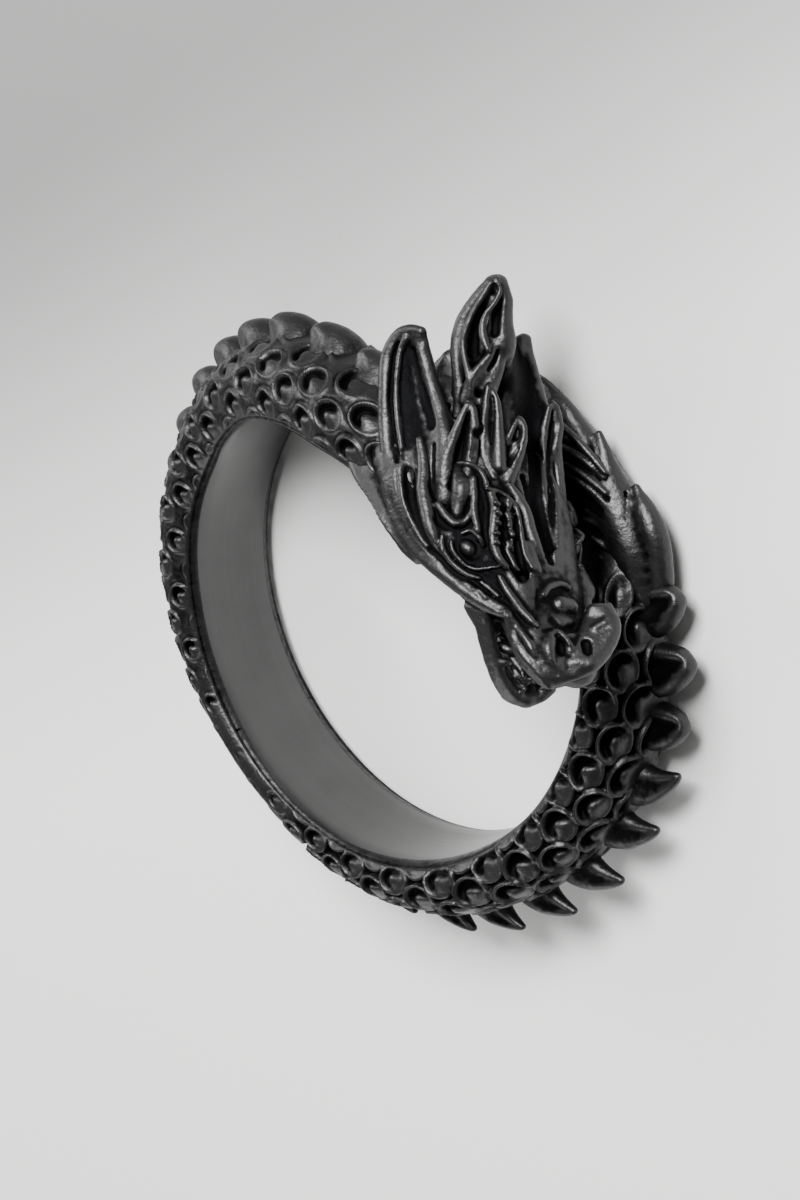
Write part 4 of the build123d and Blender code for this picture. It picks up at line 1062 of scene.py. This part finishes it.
def smooth_rows(rows, steps):
    """A smooth run of rows of numbers through the given ones."""
    rows = np.array(rows, float)
    if len(rows) == 2:
        return rows[0] + np.linspace(0, 1, steps + 1)[:, None] * (rows[1] - rows[0])
    ends = np.vstack([2 * rows[0] - rows[1], rows, 2 * rows[-1] - rows[-2]])
    made = []
    for a, b, c, d in zip(ends, ends[1:], ends[2:], ends[3:]):
        for t in np.arange(steps) / steps:
            made.append(b + t * (c - a) / 2 + t * t * (a - 2.5 * b + 2 * c - d / 2)
                        + t**3 * (1.5 * b - a / 2 - 1.5 * c + d / 2))
    made.append(rows[-1])
    return np.array(made)


def head_to_ring(places):
    """Places forward, up and near in the head's frame, as places in the ring's frame."""
    forward = np.array((math.cos(HEAD_TURN) * math.cos(HEAD_LIFT), math.sin(HEAD_TURN) * math.cos(HEAD_LIFT),
                        math.sin(HEAD_LIFT)))
    up = np.array((-math.sin(HEAD_TURN), math.cos(HEAD_TURN), 0))
    near = np.cross(forward, up)
    return HEAD_CENTRE + places @ np.array((forward, up, near))


def polar_to_ring(places):
    """Places by angle, radius and height, as places in the ring's frame."""
    turn = np.radians(places[:, 0])
    return np.stack([places[:, 1] * np.cos(turn), places[:, 1] * np.sin(turn), places[:, 2]], 1)


def tube_faces(levels, sides):
    """Outward quads and end caps of a tube of rings; the middle points of its two ends come last."""
    ring = np.arange(sides)
    following = np.roll(ring, -1)
    first = sides * np.arange(levels - 1)[:, None]
    quads = np.stack([first + ring, first + following, first + sides + following, first + sides + ring], 2)
    top = levels * sides
    last = top - sides
    caps = [(top, b, a) for a, b in zip(ring, following)]
    caps += [(top + 1, last + a, last + b) for a, b in zip(ring, following)]
    return quads.reshape(-1, 4), caps


def mesh_object(name, vertices, quads, triangles=(), **fields):
    """An object from points in millimetres, with a number at each point for each named field."""
    mesh = bpy.data.meshes.new(name)
    corners = np.concatenate([np.ravel(quads), np.ravel(np.array(triangles, int))]).astype(np.int32)
    starts = np.concatenate([4 * np.arange(len(quads)), 4 * len(quads) + 3 * np.arange(len(triangles))])
    mesh.vertices.add(len(vertices))
    mesh.vertices.foreach_set("co", (np.asarray(vertices) * MM).astype(np.float32).ravel())
    mesh.loops.add(len(corners))
    mesh.loops.foreach_set("vertex_index", corners)
    mesh.polygons.add(len(starts))
    mesh.polygons.foreach_set("loop_start", starts.astype(np.int32))
    mesh.update(calc_edges=True)
    for field, values in fields.items():
        mesh.attributes.new(field, "FLOAT", "POINT").data.foreach_set("value", np.asarray(values, np.float32))
    mesh.shade_smooth()
    made = bpy.data.objects.new(name, mesh)
    bpy.context.scene.collection.objects.link(made)
    return made


def declare(piece):
    """The piece stands for the ring's CAD solid: it joins the body, and the CAD part is hidden."""
    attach(piece, BODY)
    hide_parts(CAD_NODE)


def new_finish(name):
    """A new material: itself, its tree, its shader, and the places in the ring's frame."""
    material = bpy.data.materials.new(name)
    material.use_nodes = True
    tree = material.node_tree
    place = tree.nodes.new("ShaderNodeTexCoord").outputs["Object"]
    return material, tree, tree.nodes["Principled BSDF"], place


def colour_between(shader, share, first, second):
    """The shader's colour runs from the first to the second with the share."""
    mix = share.tree.nodes.new("ShaderNodeMix")
    mix.data_type = "RGBA"
    mix.inputs["A"].default_value = (*first, 1)
    mix.inputs["B"].default_value = (*second, 1)
    share.into(mix.inputs["Factor"])
    share.tree.links.new(mix.outputs["Result"], shader.inputs["Base Color"])


def bump_by(shader, height, strength, distance):
    """Bumps of a height rule; distance in millimetres."""
    bump = height.tree.nodes.new("ShaderNodeBump")
    bump.inputs["Strength"].default_value = strength
    bump.inputs["Distance"].default_value = distance * MM
    height.into(bump.inputs["Height"])
    height.tree.links.new(bump.outputs["Normal"], shader.inputs["Normal"])


def shaded(colour, share):
    return [share * part for part in colour]


def plated_metal():
    """Cast metal with dark plating: polished high places, recesses darkened by the plating and by painted
    shade, and a fine cast grain.
    """
    if "plated metal" in bpy.data.materials:
        return bpy.data.materials["plated metal"]
    material, tree, shader, place = new_finish("plated metal")
    shader.inputs["Metallic"].default_value = 1.0
    mottle = noise(tree, place, 900.0, 4.0)
    specks = noise(tree, place, 3500.0, 2.0)
    grain = noise(tree, place, 9000.0, 3.0)
    field = tree.nodes.new("ShaderNodeAttribute")
    field.attribute_name = "recess"
    recess = Rule(tree, field.outputs["Fac"])
    # Painted shade: the colour runs from the metal to the dark colour with the mask, which stands for the
    # dark plating in the recesses and for the shade that falls into them; the noise only varies the tone.
    wear_and_painted_light = (recess * -1.0 + 1.0 + (mottle - 0.5) * 0.5 + (specks - 0.5) * 0.7).ramp(0.15, 0.75)
    colour_between(shader, wear_and_painted_light, finish().patina_and_painted_shade, finish().metal)
    rough = wear_and_painted_light * -0.20 + (finish().roughness + 0.20) + (mottle - 0.5) * 0.22
    rough.into(shader.inputs["Roughness"])
    bump_by(shader, grain * 0.5 + specks * 0.6 + mottle, 0.6, 0.06)
    return material


def bore_metal():
    """The finger bore: the same plating, turned smooth, with fine lines round the bore."""
    if "bore metal" in bpy.data.materials:
        return bpy.data.materials["bore metal"]
    material, tree, shader, place = new_finish("bore metal")
    shader.inputs["Metallic"].default_value = 1.0
    stretch = tree.nodes.new("ShaderNodeMapping")
    stretch.inputs["Scale"].default_value = (60.0, 60.0, 6000.0)
    tree.links.new(place, stretch.inputs["Vector"])
    lines = noise(tree, stretch.outputs["Vector"], 1.0, 3.0)
    mottle = noise(tree, place, 700.0, 3.0)
    metal = finish().metal
    colour_between(shader, lines * 0.5 + mottle * 0.5, shaded(metal, 1.3), shaded(metal, 2.0))
    (lines * 0.12 + 0.24).into(shader.inputs["Roughness"])
    bump_by(shader, lines, 0.15, 0.01)
    return material


def paper_with_painted_shade():
    """Pale paper under the ring, with painted shade that darkens it towards the far end in place of the
    lamps' fall-off.
    """
    material, tree, shader, place = new_finish("paper with painted shade")
    parts = tree.nodes.new("ShaderNodeSeparateXYZ")
    tree.links.new(place, parts.inputs["Vector"])
    far = Rule(tree, parts.outputs["Y"]) - Rule(tree, parts.outputs["X"]) * 0.6
    share = far.ramp(-0.005, 0.03) + (noise(tree, place, 30.0, 2.0) - 0.5) * 0.02
    # Painted shade: the far end takes a darker copy of the floor colour.
    colour_between(shader, share, finish().floor, shaded(finish().floor, 0.25))
    shader.inputs["Roughness"].default_value = 0.7
    return material


def noise(tree, place, scale, detail):
    node = tree.nodes.new("ShaderNodeTexNoise")
    node.inputs["Scale"].default_value = scale
    node.inputs["Detail"].default_value = detail
    tree.links.new(place, node.inputs["Vector"])
    return Rule(tree, node.outputs["Fac"])


def station_values(angles):
    """The body run's columns at each angle, with the corners of the straight runs rounded off."""
    table = np.array(BODY_RUN, float)
    offsets = np.linspace(-CORNER_REACH, CORNER_REACH, 11)
    weights = np.cos(offsets / CORNER_REACH * math.pi / 2) + 0.1
    values = 0
    for offset, weight in zip(offsets, weights):
        place = np.clip(angles + offset, table[0, 0], table[-1, 0])
        columns = [np.interp(place, table[:, 0], column) for column in table.T[1:]]
        values = values + weight * np.stack(columns, 1)
    return values / weights.sum()


def flank_section():
    """Evenly spaced places from the crown to the bore's edge: shares across, outward and down, and length."""
    t = np.linspace(0, 1, 400)
    crown_out = WIDEST + (1 - WIDEST) * (1 - t**FLANK_POWER) ** (1 / FLANK_POWER)
    across = np.concatenate([t * 0.999, np.ones(len(t) - 1)])
    out = np.concatenate([crown_out, WIDEST * (1 - t[1:])])
    drop = np.concatenate([np.zeros(len(t)), t[1:]])
    flank = sizes().flank / MM
    wall = (sizes().back_radius - sizes().bore_radius) / MM
    steps = np.hypot(flank * np.diff(across), wall * np.diff(out))
    length = np.concatenate([[0], np.cumsum(steps)])
    even = np.linspace(0, length[-1], FLANK_COLUMNS)
    return *(np.interp(even, length, column) for column in (across, out, drop)), even


def body_skin(start, end):
    """Smooth skin of a run of the body: rings of points, their faces and the places of the scales on it."""
    s = sizes()
    flank = s.flank / MM
    bore = s.bore_radius / MM
    wall = s.back_radius / MM - bore
    low = s.rest_height / MM
    count = int(math.radians(end - start) * s.back_radius / MM / BODY_STEP)
    angles = np.linspace(start, end, count)
    shift, near, far, edge, wall_share, relief, groove, half = station_values(angles).T
    across, out, drop, length = flank_section()
    pitch = np.interp(angles, SCALE_ANGLES, range(len(SCALE_ANGLES)))
    row = np.interp(length, ROW_PLACES, range(len(ROW_PLACES)))
    curve = 1 - (1 - drop[None, :] ** TUCK_POWER) ** (1 / TUCK_POWER)
    tuck = 1 - (1 - edge[:, None]) * curve
    far_tuck = 1 - FAR_TUCK * curve
    thick = wall * wall_share[:, None]
    near_z = flank * (shift[:, None] + near[:, None] * across * tuck)
    far_z = np.maximum(flank * (shift[:, None] - far[:, None] * across * far_tuck), low)
    radius = bore + thick * out
    share = np.linspace(0, 1, BORE_COLUMNS + 2)[1:-1]
    bore_z = far_z[:, -1:] + (near_z[:, -1:] - far_z[:, -1:]) * share
    z = np.concatenate([near_z[:, ::-1], far_z[:, 1:], bore_z], 1)
    r = np.concatenate([radius[:, ::-1], radius[:, 1:], np.full_like(bore_z, bore)], 1)
    turn = np.radians(angles)[:, None]
    points = np.stack([r * np.cos(turn), r * np.sin(turn), z], 2)
    columns = points.shape[1]
    vertices = np.concatenate([points.reshape(-1, 3), points[[0, -1]].mean(1)])

    def spread(along, across):
        """A field from a value for each station and one for each column."""
        return np.concatenate([(np.reshape(along, (-1, 1)) * across).ravel(), [0, 0]])

    each = np.ones(columns)
    rows = np.concatenate([row[::-1], row[1:], np.full(BORE_COLUMNS, row[-1])])
    calm = np.concatenate([np.interp(row[::-1], NEAR_CALM, (1, 0)), np.interp(row[1:], FAR_CALM, (1, 0)),
                           np.zeros(BORE_COLUMNS)])
    near_side = (np.arange(columns) < FLANK_COLUMNS).astype(float)
    bore_mark = np.concatenate([[1], np.zeros(2 * FLANK_COLUMNS - 3), np.ones(BORE_COLUMNS + 1)])
    lean = np.radians(angles + PIT_LEAN)
    fields = {
        "pitch": spread(pitch, each),
        "row": spread(np.ones(count), rows),
        "relief": (spread(relief, calm * calm * (3 - 2 * calm)) * spread(np.ones(count), near_side)
                   + spread(relief * far**1.5, calm) * spread(np.ones(count), 1 - near_side)),
        "groove": spread(groove, each),
        "half": spread(half, each),
        "lean_along": spread(np.sin(lean), each),
        "lean_across": spread(np.cos(lean), each),
        "bore": spread(angles > SHOWN_BORE, bore_mark),
    }
    return vertices, *tube_faces(count, columns), fields


def named_field(tree, name):
    node = tree.nodes.new("GeometryNodeInputNamedAttribute")
    node.data_type = "FLOAT"
    node.inputs["Name"].default_value = name
    return Rule(tree, node.outputs["Attribute"])


def tree_inputs(tree, lengths, materials):
    """Named inputs of a geometry tree, and its input node."""
    tree.interface.new_socket("Geometry", in_out="INPUT", socket_type="NodeSocketGeometry")
    tree.interface.new_socket("Geometry", in_out="OUTPUT", socket_type="NodeSocketGeometry")
    for name in lengths:
        tree.interface.new_socket(name, in_out="INPUT", socket_type="NodeSocketFloat")
    for name in materials:
        tree.interface.new_socket(name, in_out="INPUT", socket_type="NodeSocketMaterial")
    return tree.nodes.new("NodeGroupInput")


def scale_relief_tree():
    """Raises and sinks a skin along its normals into staggered rows of beads, each in its own rim."""
    tree = bpy.data.node_groups.new("scale relief", "GeometryNodeTree")
    names = ("Rim height", "Pit depth", "Rest height")
    given = tree_inputs(tree, names, ("Metal", "Bore metal"))
    rim_height, pit_depth, rest_height = (Rule(tree, given.outputs[name]) for name in names)
    pitch = named_field(tree, "pitch")
    row = named_field(tree, "row")
    half = named_field(tree, "half")
    lower = row.math("FLOOR")

    def scale_in_row(index):
        """Rim, hollow and share outside of the scale of one row that is nearest along the body."""
        along = pitch - index.math("FLOORED_MODULO", 2.0) * 0.5
        along = (along - along.math("ROUND")) / half
        across = (row - index) / (half * HALF_ROW)
        reach = (along * along + across * across).math("SQRT")
        lean = (along * named_field(tree, "lean_along") + across * named_field(tree, "lean_across"))
        lean = lean / (reach + 0.08)
        rim = (reach - 1.0).bell(RIM_WIDTH) * lean.ramp(-0.9, 0.4, 0.2, 1.0)
        pit = (reach - PIT_PLACE).bell(PIT_WIDTH) * lean.ramp(-0.6, 0.7, 0.03, 1.0)
        step = (reach - STEP_PLACE).bell(STEP_WIDTH) * lean.ramp(-0.2, 0.6) * 0.2
        bead = reach.bell(BEAD_WIDTH) * rim_height * 0.4
        return rim, (pit + step) * pit_depth - bead, reach.ramp(1.05, 1.3)

    rim, hollow, outside = scale_in_row(lower)
    next_rim, next_hollow, next_outside = scale_in_row(lower + 1.0)
    gap = outside * next_outside * named_field(tree, "groove") * pit_depth * 0.8
    relief = rim.math("MAXIMUM", next_rim) * rim_height - hollow - next_hollow - gap
    line = (row - LINE_ROW).bell(LINE_WIDTH) * pit_depth * 0.3
    height = relief * named_field(tree, "relief") * row.ramp(0.25, 0.75) - line
    # Painted shade: the pits and grooves of the scales go dark with their depth, for the dark plating there
    # and for the shade inside them.
    recess = (height * -1.0 / pit_depth).ramp(-0.30, 0.50)
    place = tree.nodes.new("GeometryNodeInputPosition").outputs["Position"]
    move_by = tree.nodes.new("ShaderNodeVectorMath")
    move_by.operation = "MULTIPLY_ADD"
    tree.links.new(tree.nodes.new("GeometryNodeInputNormal").outputs["Normal"], move_by.inputs[0])
    height.into(move_by.inputs[1])
    tree.links.new(place, move_by.inputs[2])
    parts = tree.nodes.new("ShaderNodeSeparateXYZ")
    tree.links.new(move_by.outputs["Vector"], parts.inputs["Vector"])
    whole = tree.nodes.new("ShaderNodeCombineXYZ")
    tree.links.new(parts.outputs["X"], whole.inputs["X"])
    tree.links.new(parts.outputs["Y"], whole.inputs["Y"])
    Rule(tree, parts.outputs["Z"]).math("MAXIMUM", rest_height).into(whole.inputs["Z"])
    store = tree.nodes.new("GeometryNodeStoreNamedAttribute")
    store.data_type = "FLOAT"
    store.inputs["Name"].default_value = "recess"
    tree.links.new(given.outputs["Geometry"], store.inputs["Geometry"])
    recess.into(store.inputs["Value"])
    move = tree.nodes.new("GeometryNodeSetPosition")
    tree.links.new(store.outputs["Geometry"], move.inputs["Geometry"])
    tree.links.new(whole.outputs["Vector"], move.inputs["Position"])
    end_tree(tree, given, move.outputs["Geometry"], "Metal", ("Bore metal", named_field(tree, "bore")))
    return tree


def end_tree(tree, given, geometry, metal, second=None):
    """Realizes instances and sets materials, the second one where its field is above a half."""
    realize = tree.nodes.new("GeometryNodeRealizeInstances")
    tree.links.new(geometry, realize.inputs["Geometry"])
    last = tree.nodes.new("GeometryNodeSetMaterial")
    tree.links.new(realize.outputs["Geometry"], last.inputs["Geometry"])
    tree.links.new(given.outputs[metal], last.inputs["Material"])
    if second:
        first = last
        last = tree.nodes.new("GeometryNodeSetMaterial")
        tree.links.new(first.outputs["Geometry"], last.inputs["Geometry"])
        tree.links.new(given.outputs[second[0]], last.inputs["Material"])
        second[1].math("GREATER_THAN", 0.5).into(last.inputs["Selection"])
    out = tree.nodes.new("NodeGroupOutput")
    tree.links.new(last.outputs["Geometry"], out.inputs["Geometry"])


def run_tree(piece, tree, values):
    """Runs a geometry tree on a piece and keeps its result as a plain mesh."""
    modifier = piece.modifiers.new(tree.name, "NODES")
    modifier.node_group = tree
    for socket in tree.interface.items_tree:
        if socket.in_out == "INPUT" and socket.name in values:
            modifier[socket.identifier] = values[socket.name]
    bpy.context.view_layer.update()
    result = piece.evaluated_get(bpy.context.evaluated_depsgraph_get())
    mesh = bpy.data.meshes.new_from_object(result)
    piece.modifiers.remove(modifier)
    piece.data = mesh
    mesh.shade_smooth()


class DRAGONRING_OT_body(bpy.types.Operator):
    """Body band with scales on both flanks and the plain finger bore, in two runs"""
    bl_idname = "dragon_ring.body"
    bl_label = "Scaled body"

    def execute(self, context):
        tree = scale_relief_tree()
        for name, (start, end) in BODY_PARTS.items():
            vertices, quads, caps, fields = body_skin(start, end)
            piece = mesh_object(name, vertices, quads, caps, **fields)
            run_tree(piece, tree, {
                "Rim height": sizes().scale_height, "Pit depth": sizes().pit_depth,
                "Rest height": sizes().rest_height, "Metal": plated_metal(), "Bore metal": bore_metal(),
            })
            split_caps(piece, len(caps))
            declare(piece)
        return {"FINISHED"}


def split_caps(piece, count):
    """Sharp edges round the caps, which are the piece's last faces, so that they don't bend the light."""
    faces = piece.data.polygons
    sharp = set()
    for face in faces[len(faces) - count:]:
        sharp |= {tuple(sorted(face.vertices[:2])), tuple(sorted(face.vertices[1:]))}
    for edge in piece.data.edges:
        if tuple(sorted(edge.vertices)) in sharp:
            edge.use_edge_sharp = True


def spine_shape(name, sections):
    """One full spine at the origin: +X outwards and +Y towards the tail."""
    rows = smooth_rows(sections, 4)
    turns = np.linspace(0, 2 * math.pi, SPINE_SIDES, endpoint=False)
    along = np.sign(np.cos(turns)) * np.abs(np.cos(turns)) ** 1.1
    across = np.sin(turns)
    rings = []
    for index, (out, tailward, half_length, half_width, hollow) in enumerate(rows):
        before = rows[max(index - 1, 0)][:2]
        after = rows[min(index + 1, len(rows) - 1)][:2]
        rise = (after - before) / np.linalg.norm(after - before)
        width = half_width * (1 - hollow * np.exp(-(((along - 0.1) / 0.5) ** 2)))
        rings.append(np.stack([out - rise[1] * half_length * along, tailward + rise[0] * half_length * along,
                               width * across], 1))
    points = np.concatenate([*rings, [rings[0].mean(0), rings[-1].mean(0) + (0.02, 0.01, 0)]])
    level = np.repeat(np.linspace(0, 1, len(rings)), SPINE_SIDES)
    side = np.tile(np.exp(-((along / 0.5) ** 2)), len(rings)) * np.repeat(rows[:, 4], SPINE_SIDES)
    # Painted shade: darker towards the root, where the spine meets the body, and in the hollows along its
    # sides, for the dark plating there and for the shade there.
    recess = np.clip(0.75 - 1.3 * level + 1.8 * side, 0, 1)
    recess = np.concatenate([recess, [1, 0]])
    return mesh_object(name, points, *tube_faces(len(rings), SPINE_SIDES), recess=recess)


def spine_tree(shapes):
    """Puts on each point a turned and sized copy of the shape that its number names."""
    tree = bpy.data.node_groups.new("back spines", "GeometryNodeTree")
    given = tree_inputs(tree, ("Spine size",), ("Metal",))
    for name in shapes:
        tree.interface.new_socket(name, in_out="INPUT", socket_type="NodeSocketObject")
    turn = tree.nodes.new("ShaderNodeCombineXYZ")
    named_field(tree, "turn").into(turn.inputs["Z"])
    size = tree.nodes.new("ShaderNodeCombineXYZ")
    whole = Rule(tree, given.outputs["Spine size"])
    (named_field(tree, "height") * whole).into(size.inputs["X"])
    (named_field(tree, "breadth") * whole).into(size.inputs["Y"])
    (named_field(tree, "breadth") * whole).into(size.inputs["Z"])
    join = tree.nodes.new("GeometryNodeJoinGeometry")
    for index, name in enumerate(shapes):
        info = tree.nodes.new("GeometryNodeObjectInfo")
        tree.links.new(given.outputs[name], info.inputs["Object"])
        copies = tree.nodes.new("GeometryNodeInstanceOnPoints")
        (named_field(tree, "shape") - index).math("COMPARE", 0.0, 0.5).into(copies.inputs["Selection"])
        tree.links.new(given.outputs["Geometry"], copies.inputs["Points"])
        tree.links.new(info.outputs["Geometry"], copies.inputs["Instance"])
        tree.links.new(turn.outputs["Vector"], copies.inputs["Rotation"])
        tree.links.new(size.outputs["Vector"], copies.inputs["Scale"])
        tree.links.new(copies.outputs["Instances"], join.inputs["Geometry"])
    end_tree(tree, given, join.outputs["Geometry"], "Metal")
    return tree


class DRAGONRING_OT_spines(bpy.types.Operator):
    """Back spines, one on each pitch of the body"""
    bl_idname = "dragon_ring.spines"
    bl_label = "Back spines"

    def execute(self, context):
        s = sizes()
        angles = np.array([spine.angle for spine in SPINES], float)
        run = Station(angles, *station_values(angles).T)
        radius = (s.bore_radius + (s.back_radius - s.bore_radius) * run.wall) / MM
        places = polar_to_ring(np.stack([angles, radius, run.shift * s.flank / MM], 1))
        shapes = {f"Shape {index}": spine_shape(f"spine {index}", sections)
                  for index, sections in enumerate(SPINE_SHAPES)}
        piece = mesh_object(
            "back_spines", places, np.zeros((0, 4), int), turn=np.radians(angles),
            height=[spine.height for spine in SPINES], breadth=[spine.breadth for spine in SPINES],
            shape=[spine.shape for spine in SPINES])
        run_tree(piece, spine_tree(shapes), {"Spine size": s.spine_scale, "Metal": plated_metal(), **shapes})
        for shape in shapes.values():
            bpy.data.objects.remove(shape)
        declare(piece)
        return {"FINISHED"}


def finished_clay(clay, name, roughness, seed, painted_shade_places=()):
    """Trims clay to the bore and the rest plane and takes its skin off as a piece."""
    clay.roughen(roughness, CAST_GRAIN, seed)
    x, y, z = clay.grid()
    clay.keep(sizes().bore_radius / MM - np.hypot(x, y) + 0 * z)
    clay.keep(sizes().rest_height / MM - z + 0 * (x + y))
    vertices, quads = clay.skin()
    fine = clay.sample(clay.fill_share(FINE_REACH), vertices)
    wide = clay.sample(clay.fill_share(WIDE_REACH), vertices)
    # Painted shade: folds and hollows get darker by how much metal surrounds each place, for the dark plating
    # there and for the shade that falls into them; the listed places add more painted shade.
    recess = (fine - FINE_EVEN) * FINE_WEIGHT + (wide - WIDE_EVEN) * WIDE_WEIGHT + PLAIN_RECESS
    for *place, radius, share in painted_shade_places:
        away = vertices - head_to_ring(np.array([place]))
        recess += share * np.exp(-(away**2).sum(1) / radius**2)
    recess = np.clip(recess, 0, 1)
    piece = mesh_object(name, vertices, quads, recess=recess)
    piece.data.materials.append(plated_metal())
    declare(piece)


def clay_block(part):
    low, high = CLAY_BLOCKS[part]
    return Clay(low, high, sizes().clay_pitch / MM * (1.0))


class DRAGONRING_OT_tuft(bpy.types.Operator):
    """Tail tuft of flame-like leaves and strands"""
    bl_idname = "dragon_ring.tuft"
    bl_label = "Tail tuft"

    def execute(self, context):
        clay = clay_block(TUFT)
        for stroke in TUFT_STROKES:
            clay.work(stroke, polar_to_ring)
        for strand, following in zip(STRANDS, STRANDS[1:]):
            ridge = []
            gap = []
            for (angle, radius), (next_angle, next_radius), share in zip(strand, following, STRAND_SHARES):
                ridge.append((angle, radius, STRAND_HEIGHT, STRAND_RADIUS * share))
                gap.append(((angle + next_angle) / 2, (radius + next_radius) / 2, STRAND_HEIGHT + GAP_RISE,
                            GAP_SHARE * STRAND_RADIUS * share))
            clay.work(Stroke("gap", TUFT, CUT, STRAND_SOFTNESS, gap), polar_to_ring)
            clay.work(Stroke("strand", TUFT, LAY, STRAND_SOFTNESS, ridge), polar_to_ring)
        finished_clay(clay, TUFT, TUFT_ROUGHNESS, TUFT_SEED)
        return {"FINISHED"}


class DRAGONRING_OT_saddle(bpy.types.Operator):
    """Plain wall from the bore out, which carries the head"""
    bl_idname = "dragon_ring.saddle"
    bl_label = "Wall under the head"

    def execute(self, context):
        table = np.array(SADDLE_RUN)
        angles = np.linspace(table[0, 0], table[-1, 0], SADDLE_LEVELS)
        tops = np.interp(angles, table[:, 0], table[:, 1])
        low = np.interp(angles, table[:, 0], table[:, 2])[:, None]
        bore = sizes().bore_radius / MM
        corner = np.linspace(0, math.pi / 2, CORNER_STEPS)
        out = np.concatenate([
            np.full(SADDLE_STEPS, bore + SADDLE_BEHIND), bore + SADDLE_ROUND * (1 - np.cos(corner)),
            SADDLE_OUTER - SADDLE_ROUND * (1 - np.sin(corner[::-1])), [SADDLE_OUTER, bore + SADDLE_FOOT]])
        down = np.concatenate([
            -np.ones(SADDLE_STEPS), -SADDLE_ROUND * (1 - np.sin(corner)),
            -SADDLE_ROUND * (1 - np.cos(corner[::-1])), [-1, -1]])
        rise = np.concatenate([
            np.linspace(0, 1, SADDLE_STEPS, endpoint=False), np.ones(2 * CORNER_STEPS), [0, 0]])
        z = low + rise * (tops[:, None] - low) + np.where(rise == 1, down, 0)
        turn = np.radians(angles)[:, None]
        points = np.stack([out * np.cos(turn), out * np.sin(turn), z], 2)
        vertices = np.concatenate([points.reshape(-1, 3), points[[0, -1]].mean(1)])
        piece = mesh_object("head_seat", vertices, *tube_faces(len(angles), len(out)),
                            recess=np.full(len(vertices), 0.5))
        piece.data.materials.append(plated_metal())
        declare(piece)
        return {"FINISHED"}


class DRAGONRING_OT_head(bpy.types.Operator):
    """Face with its open mouth, and the crest of ear, horns and spikes"""
    bl_idname = "dragon_ring.head"
    bl_label = "Head"

    def execute(self, context):
        for part in (FACE, CREST):
            clay = clay_block(part)
            for stroke in HEAD_MASSES + HEAD_STROKES:
                if stroke.part == part or stroke.way in (CUT, CUT_BOTH):
                    clay.work(stroke, head_to_ring)
            finished_clay(clay, part, HEAD_ROUGHNESS, HEAD_SEED, PAINTED_SHADE_PLACES)
        return {"FINISHED"}


class DRAGONRING_OT_stage(bpy.types.Operator):
    """Floor, soft studio light and the camera at the photograph's angle"""
    bl_idname = "dragon_ring.stage"
    bl_label = "Stage"

    def execute(self, context):
        scene = bpy.context.scene
        low = sizes().rest_height / MM
        corners = [(x * FLOOR_SIDE, y * FLOOR_SIDE, low) for x, y in ((-1, -1), (1, -1), (1, 1), (-1, 1))]
        floor = mesh_object("floor", np.array(corners), np.array([[0, 1, 2, 3]]))
        floor.data.materials.append(paper_with_painted_shade())
        world = bpy.data.worlds.new("studio")
        world.use_nodes = True
        background = world.node_tree.nodes["Background"]
        background.inputs["Color"].default_value = (0.9, 0.9, 0.9, 1)
        background.inputs["Strength"].default_value = SKY
        scene.world = world
        for light in LIGHTS:
            add_light(*light)
        camera_data = bpy.data.cameras.new("camera")
        camera_data.sensor_width = SENSOR
        camera_data.lens = FOCAL_PIXELS / PICTURE_HEIGHT * SENSOR
        camera_data.clip_start = 0.01
        camera_data.clip_end = 10.0
        camera = bpy.data.objects.new("camera", camera_data)
        turn = Matrix((CAMERA_RIGHT, CAMERA_UP, CAMERA_BACK)).transposed()
        camera.matrix_world = Matrix.Translation(Vector(CAMERA_PLACE) * MM) @ turn.to_4x4()
        scene.collection.objects.link(camera)
        scene.camera = camera
        return {"FINISHED"}


def add_light(name, place, size, power):
    """A square soft light that faces the ring; place and size in millimetres, power in watts."""
    data = bpy.data.lights.new(name, "AREA")
    data.shape = "SQUARE"
    data.size = size * MM
    data.energy = power
    light = bpy.data.objects.new(name, data)
    light.location = Vector(place) * MM
    light.rotation_euler = (-light.location).to_track_quat("-Z", "Y").to_euler()
    bpy.context.scene.collection.objects.link(light)


OPERATORS = (DRAGONRING_OT_stage, DRAGONRING_OT_body, DRAGONRING_OT_spines, DRAGONRING_OT_tuft,
             DRAGONRING_OT_saddle, DRAGONRING_OT_head)


class DRAGONRING_PT_panel(bpy.types.Panel):
    """Lists the ring's sizes and the operators that build it"""
    bl_idname = "DRAGONRING_PT_panel"
    bl_label = "Dragon ring"
    bl_space_type = "VIEW_3D"
    bl_region_type = "UI"
    bl_category = "Dragon ring"

    def draw(self, context):
        layout = self.layout
        for settings in (context.scene.dragon_ring_sizes, context.scene.dragon_ring_finish):
            box = layout.box()
            for name in settings.__annotations__:
                box.prop(settings, name)
        for operator in OPERATORS:
            layout.operator(operator.bl_idname)


CLASSES = (RingSizes, RingFinish, *OPERATORS, DRAGONRING_PT_panel)


def register():
    for item in CLASSES:
        bpy.utils.register_class(item)
    bpy.types.Scene.dragon_ring_sizes = PointerProperty(type=RingSizes)
    bpy.types.Scene.dragon_ring_finish = PointerProperty(type=RingFinish)


def unregister():
    del bpy.types.Scene.dragon_ring_finish
    del bpy.types.Scene.dragon_ring_sizes
    for item in reversed(CLASSES):
        bpy.utils.unregister_class(item)


def main():
    register()
    bpy.ops.dragon_ring.stage()
    bpy.ops.dragon_ring.body()
    bpy.ops.dragon_ring.spines()
    bpy.ops.dragon_ring.tuft()
    bpy.ops.dragon_ring.saddle()
    bpy.ops.dragon_ring.head()


if __name__ == "__main__":
    main()
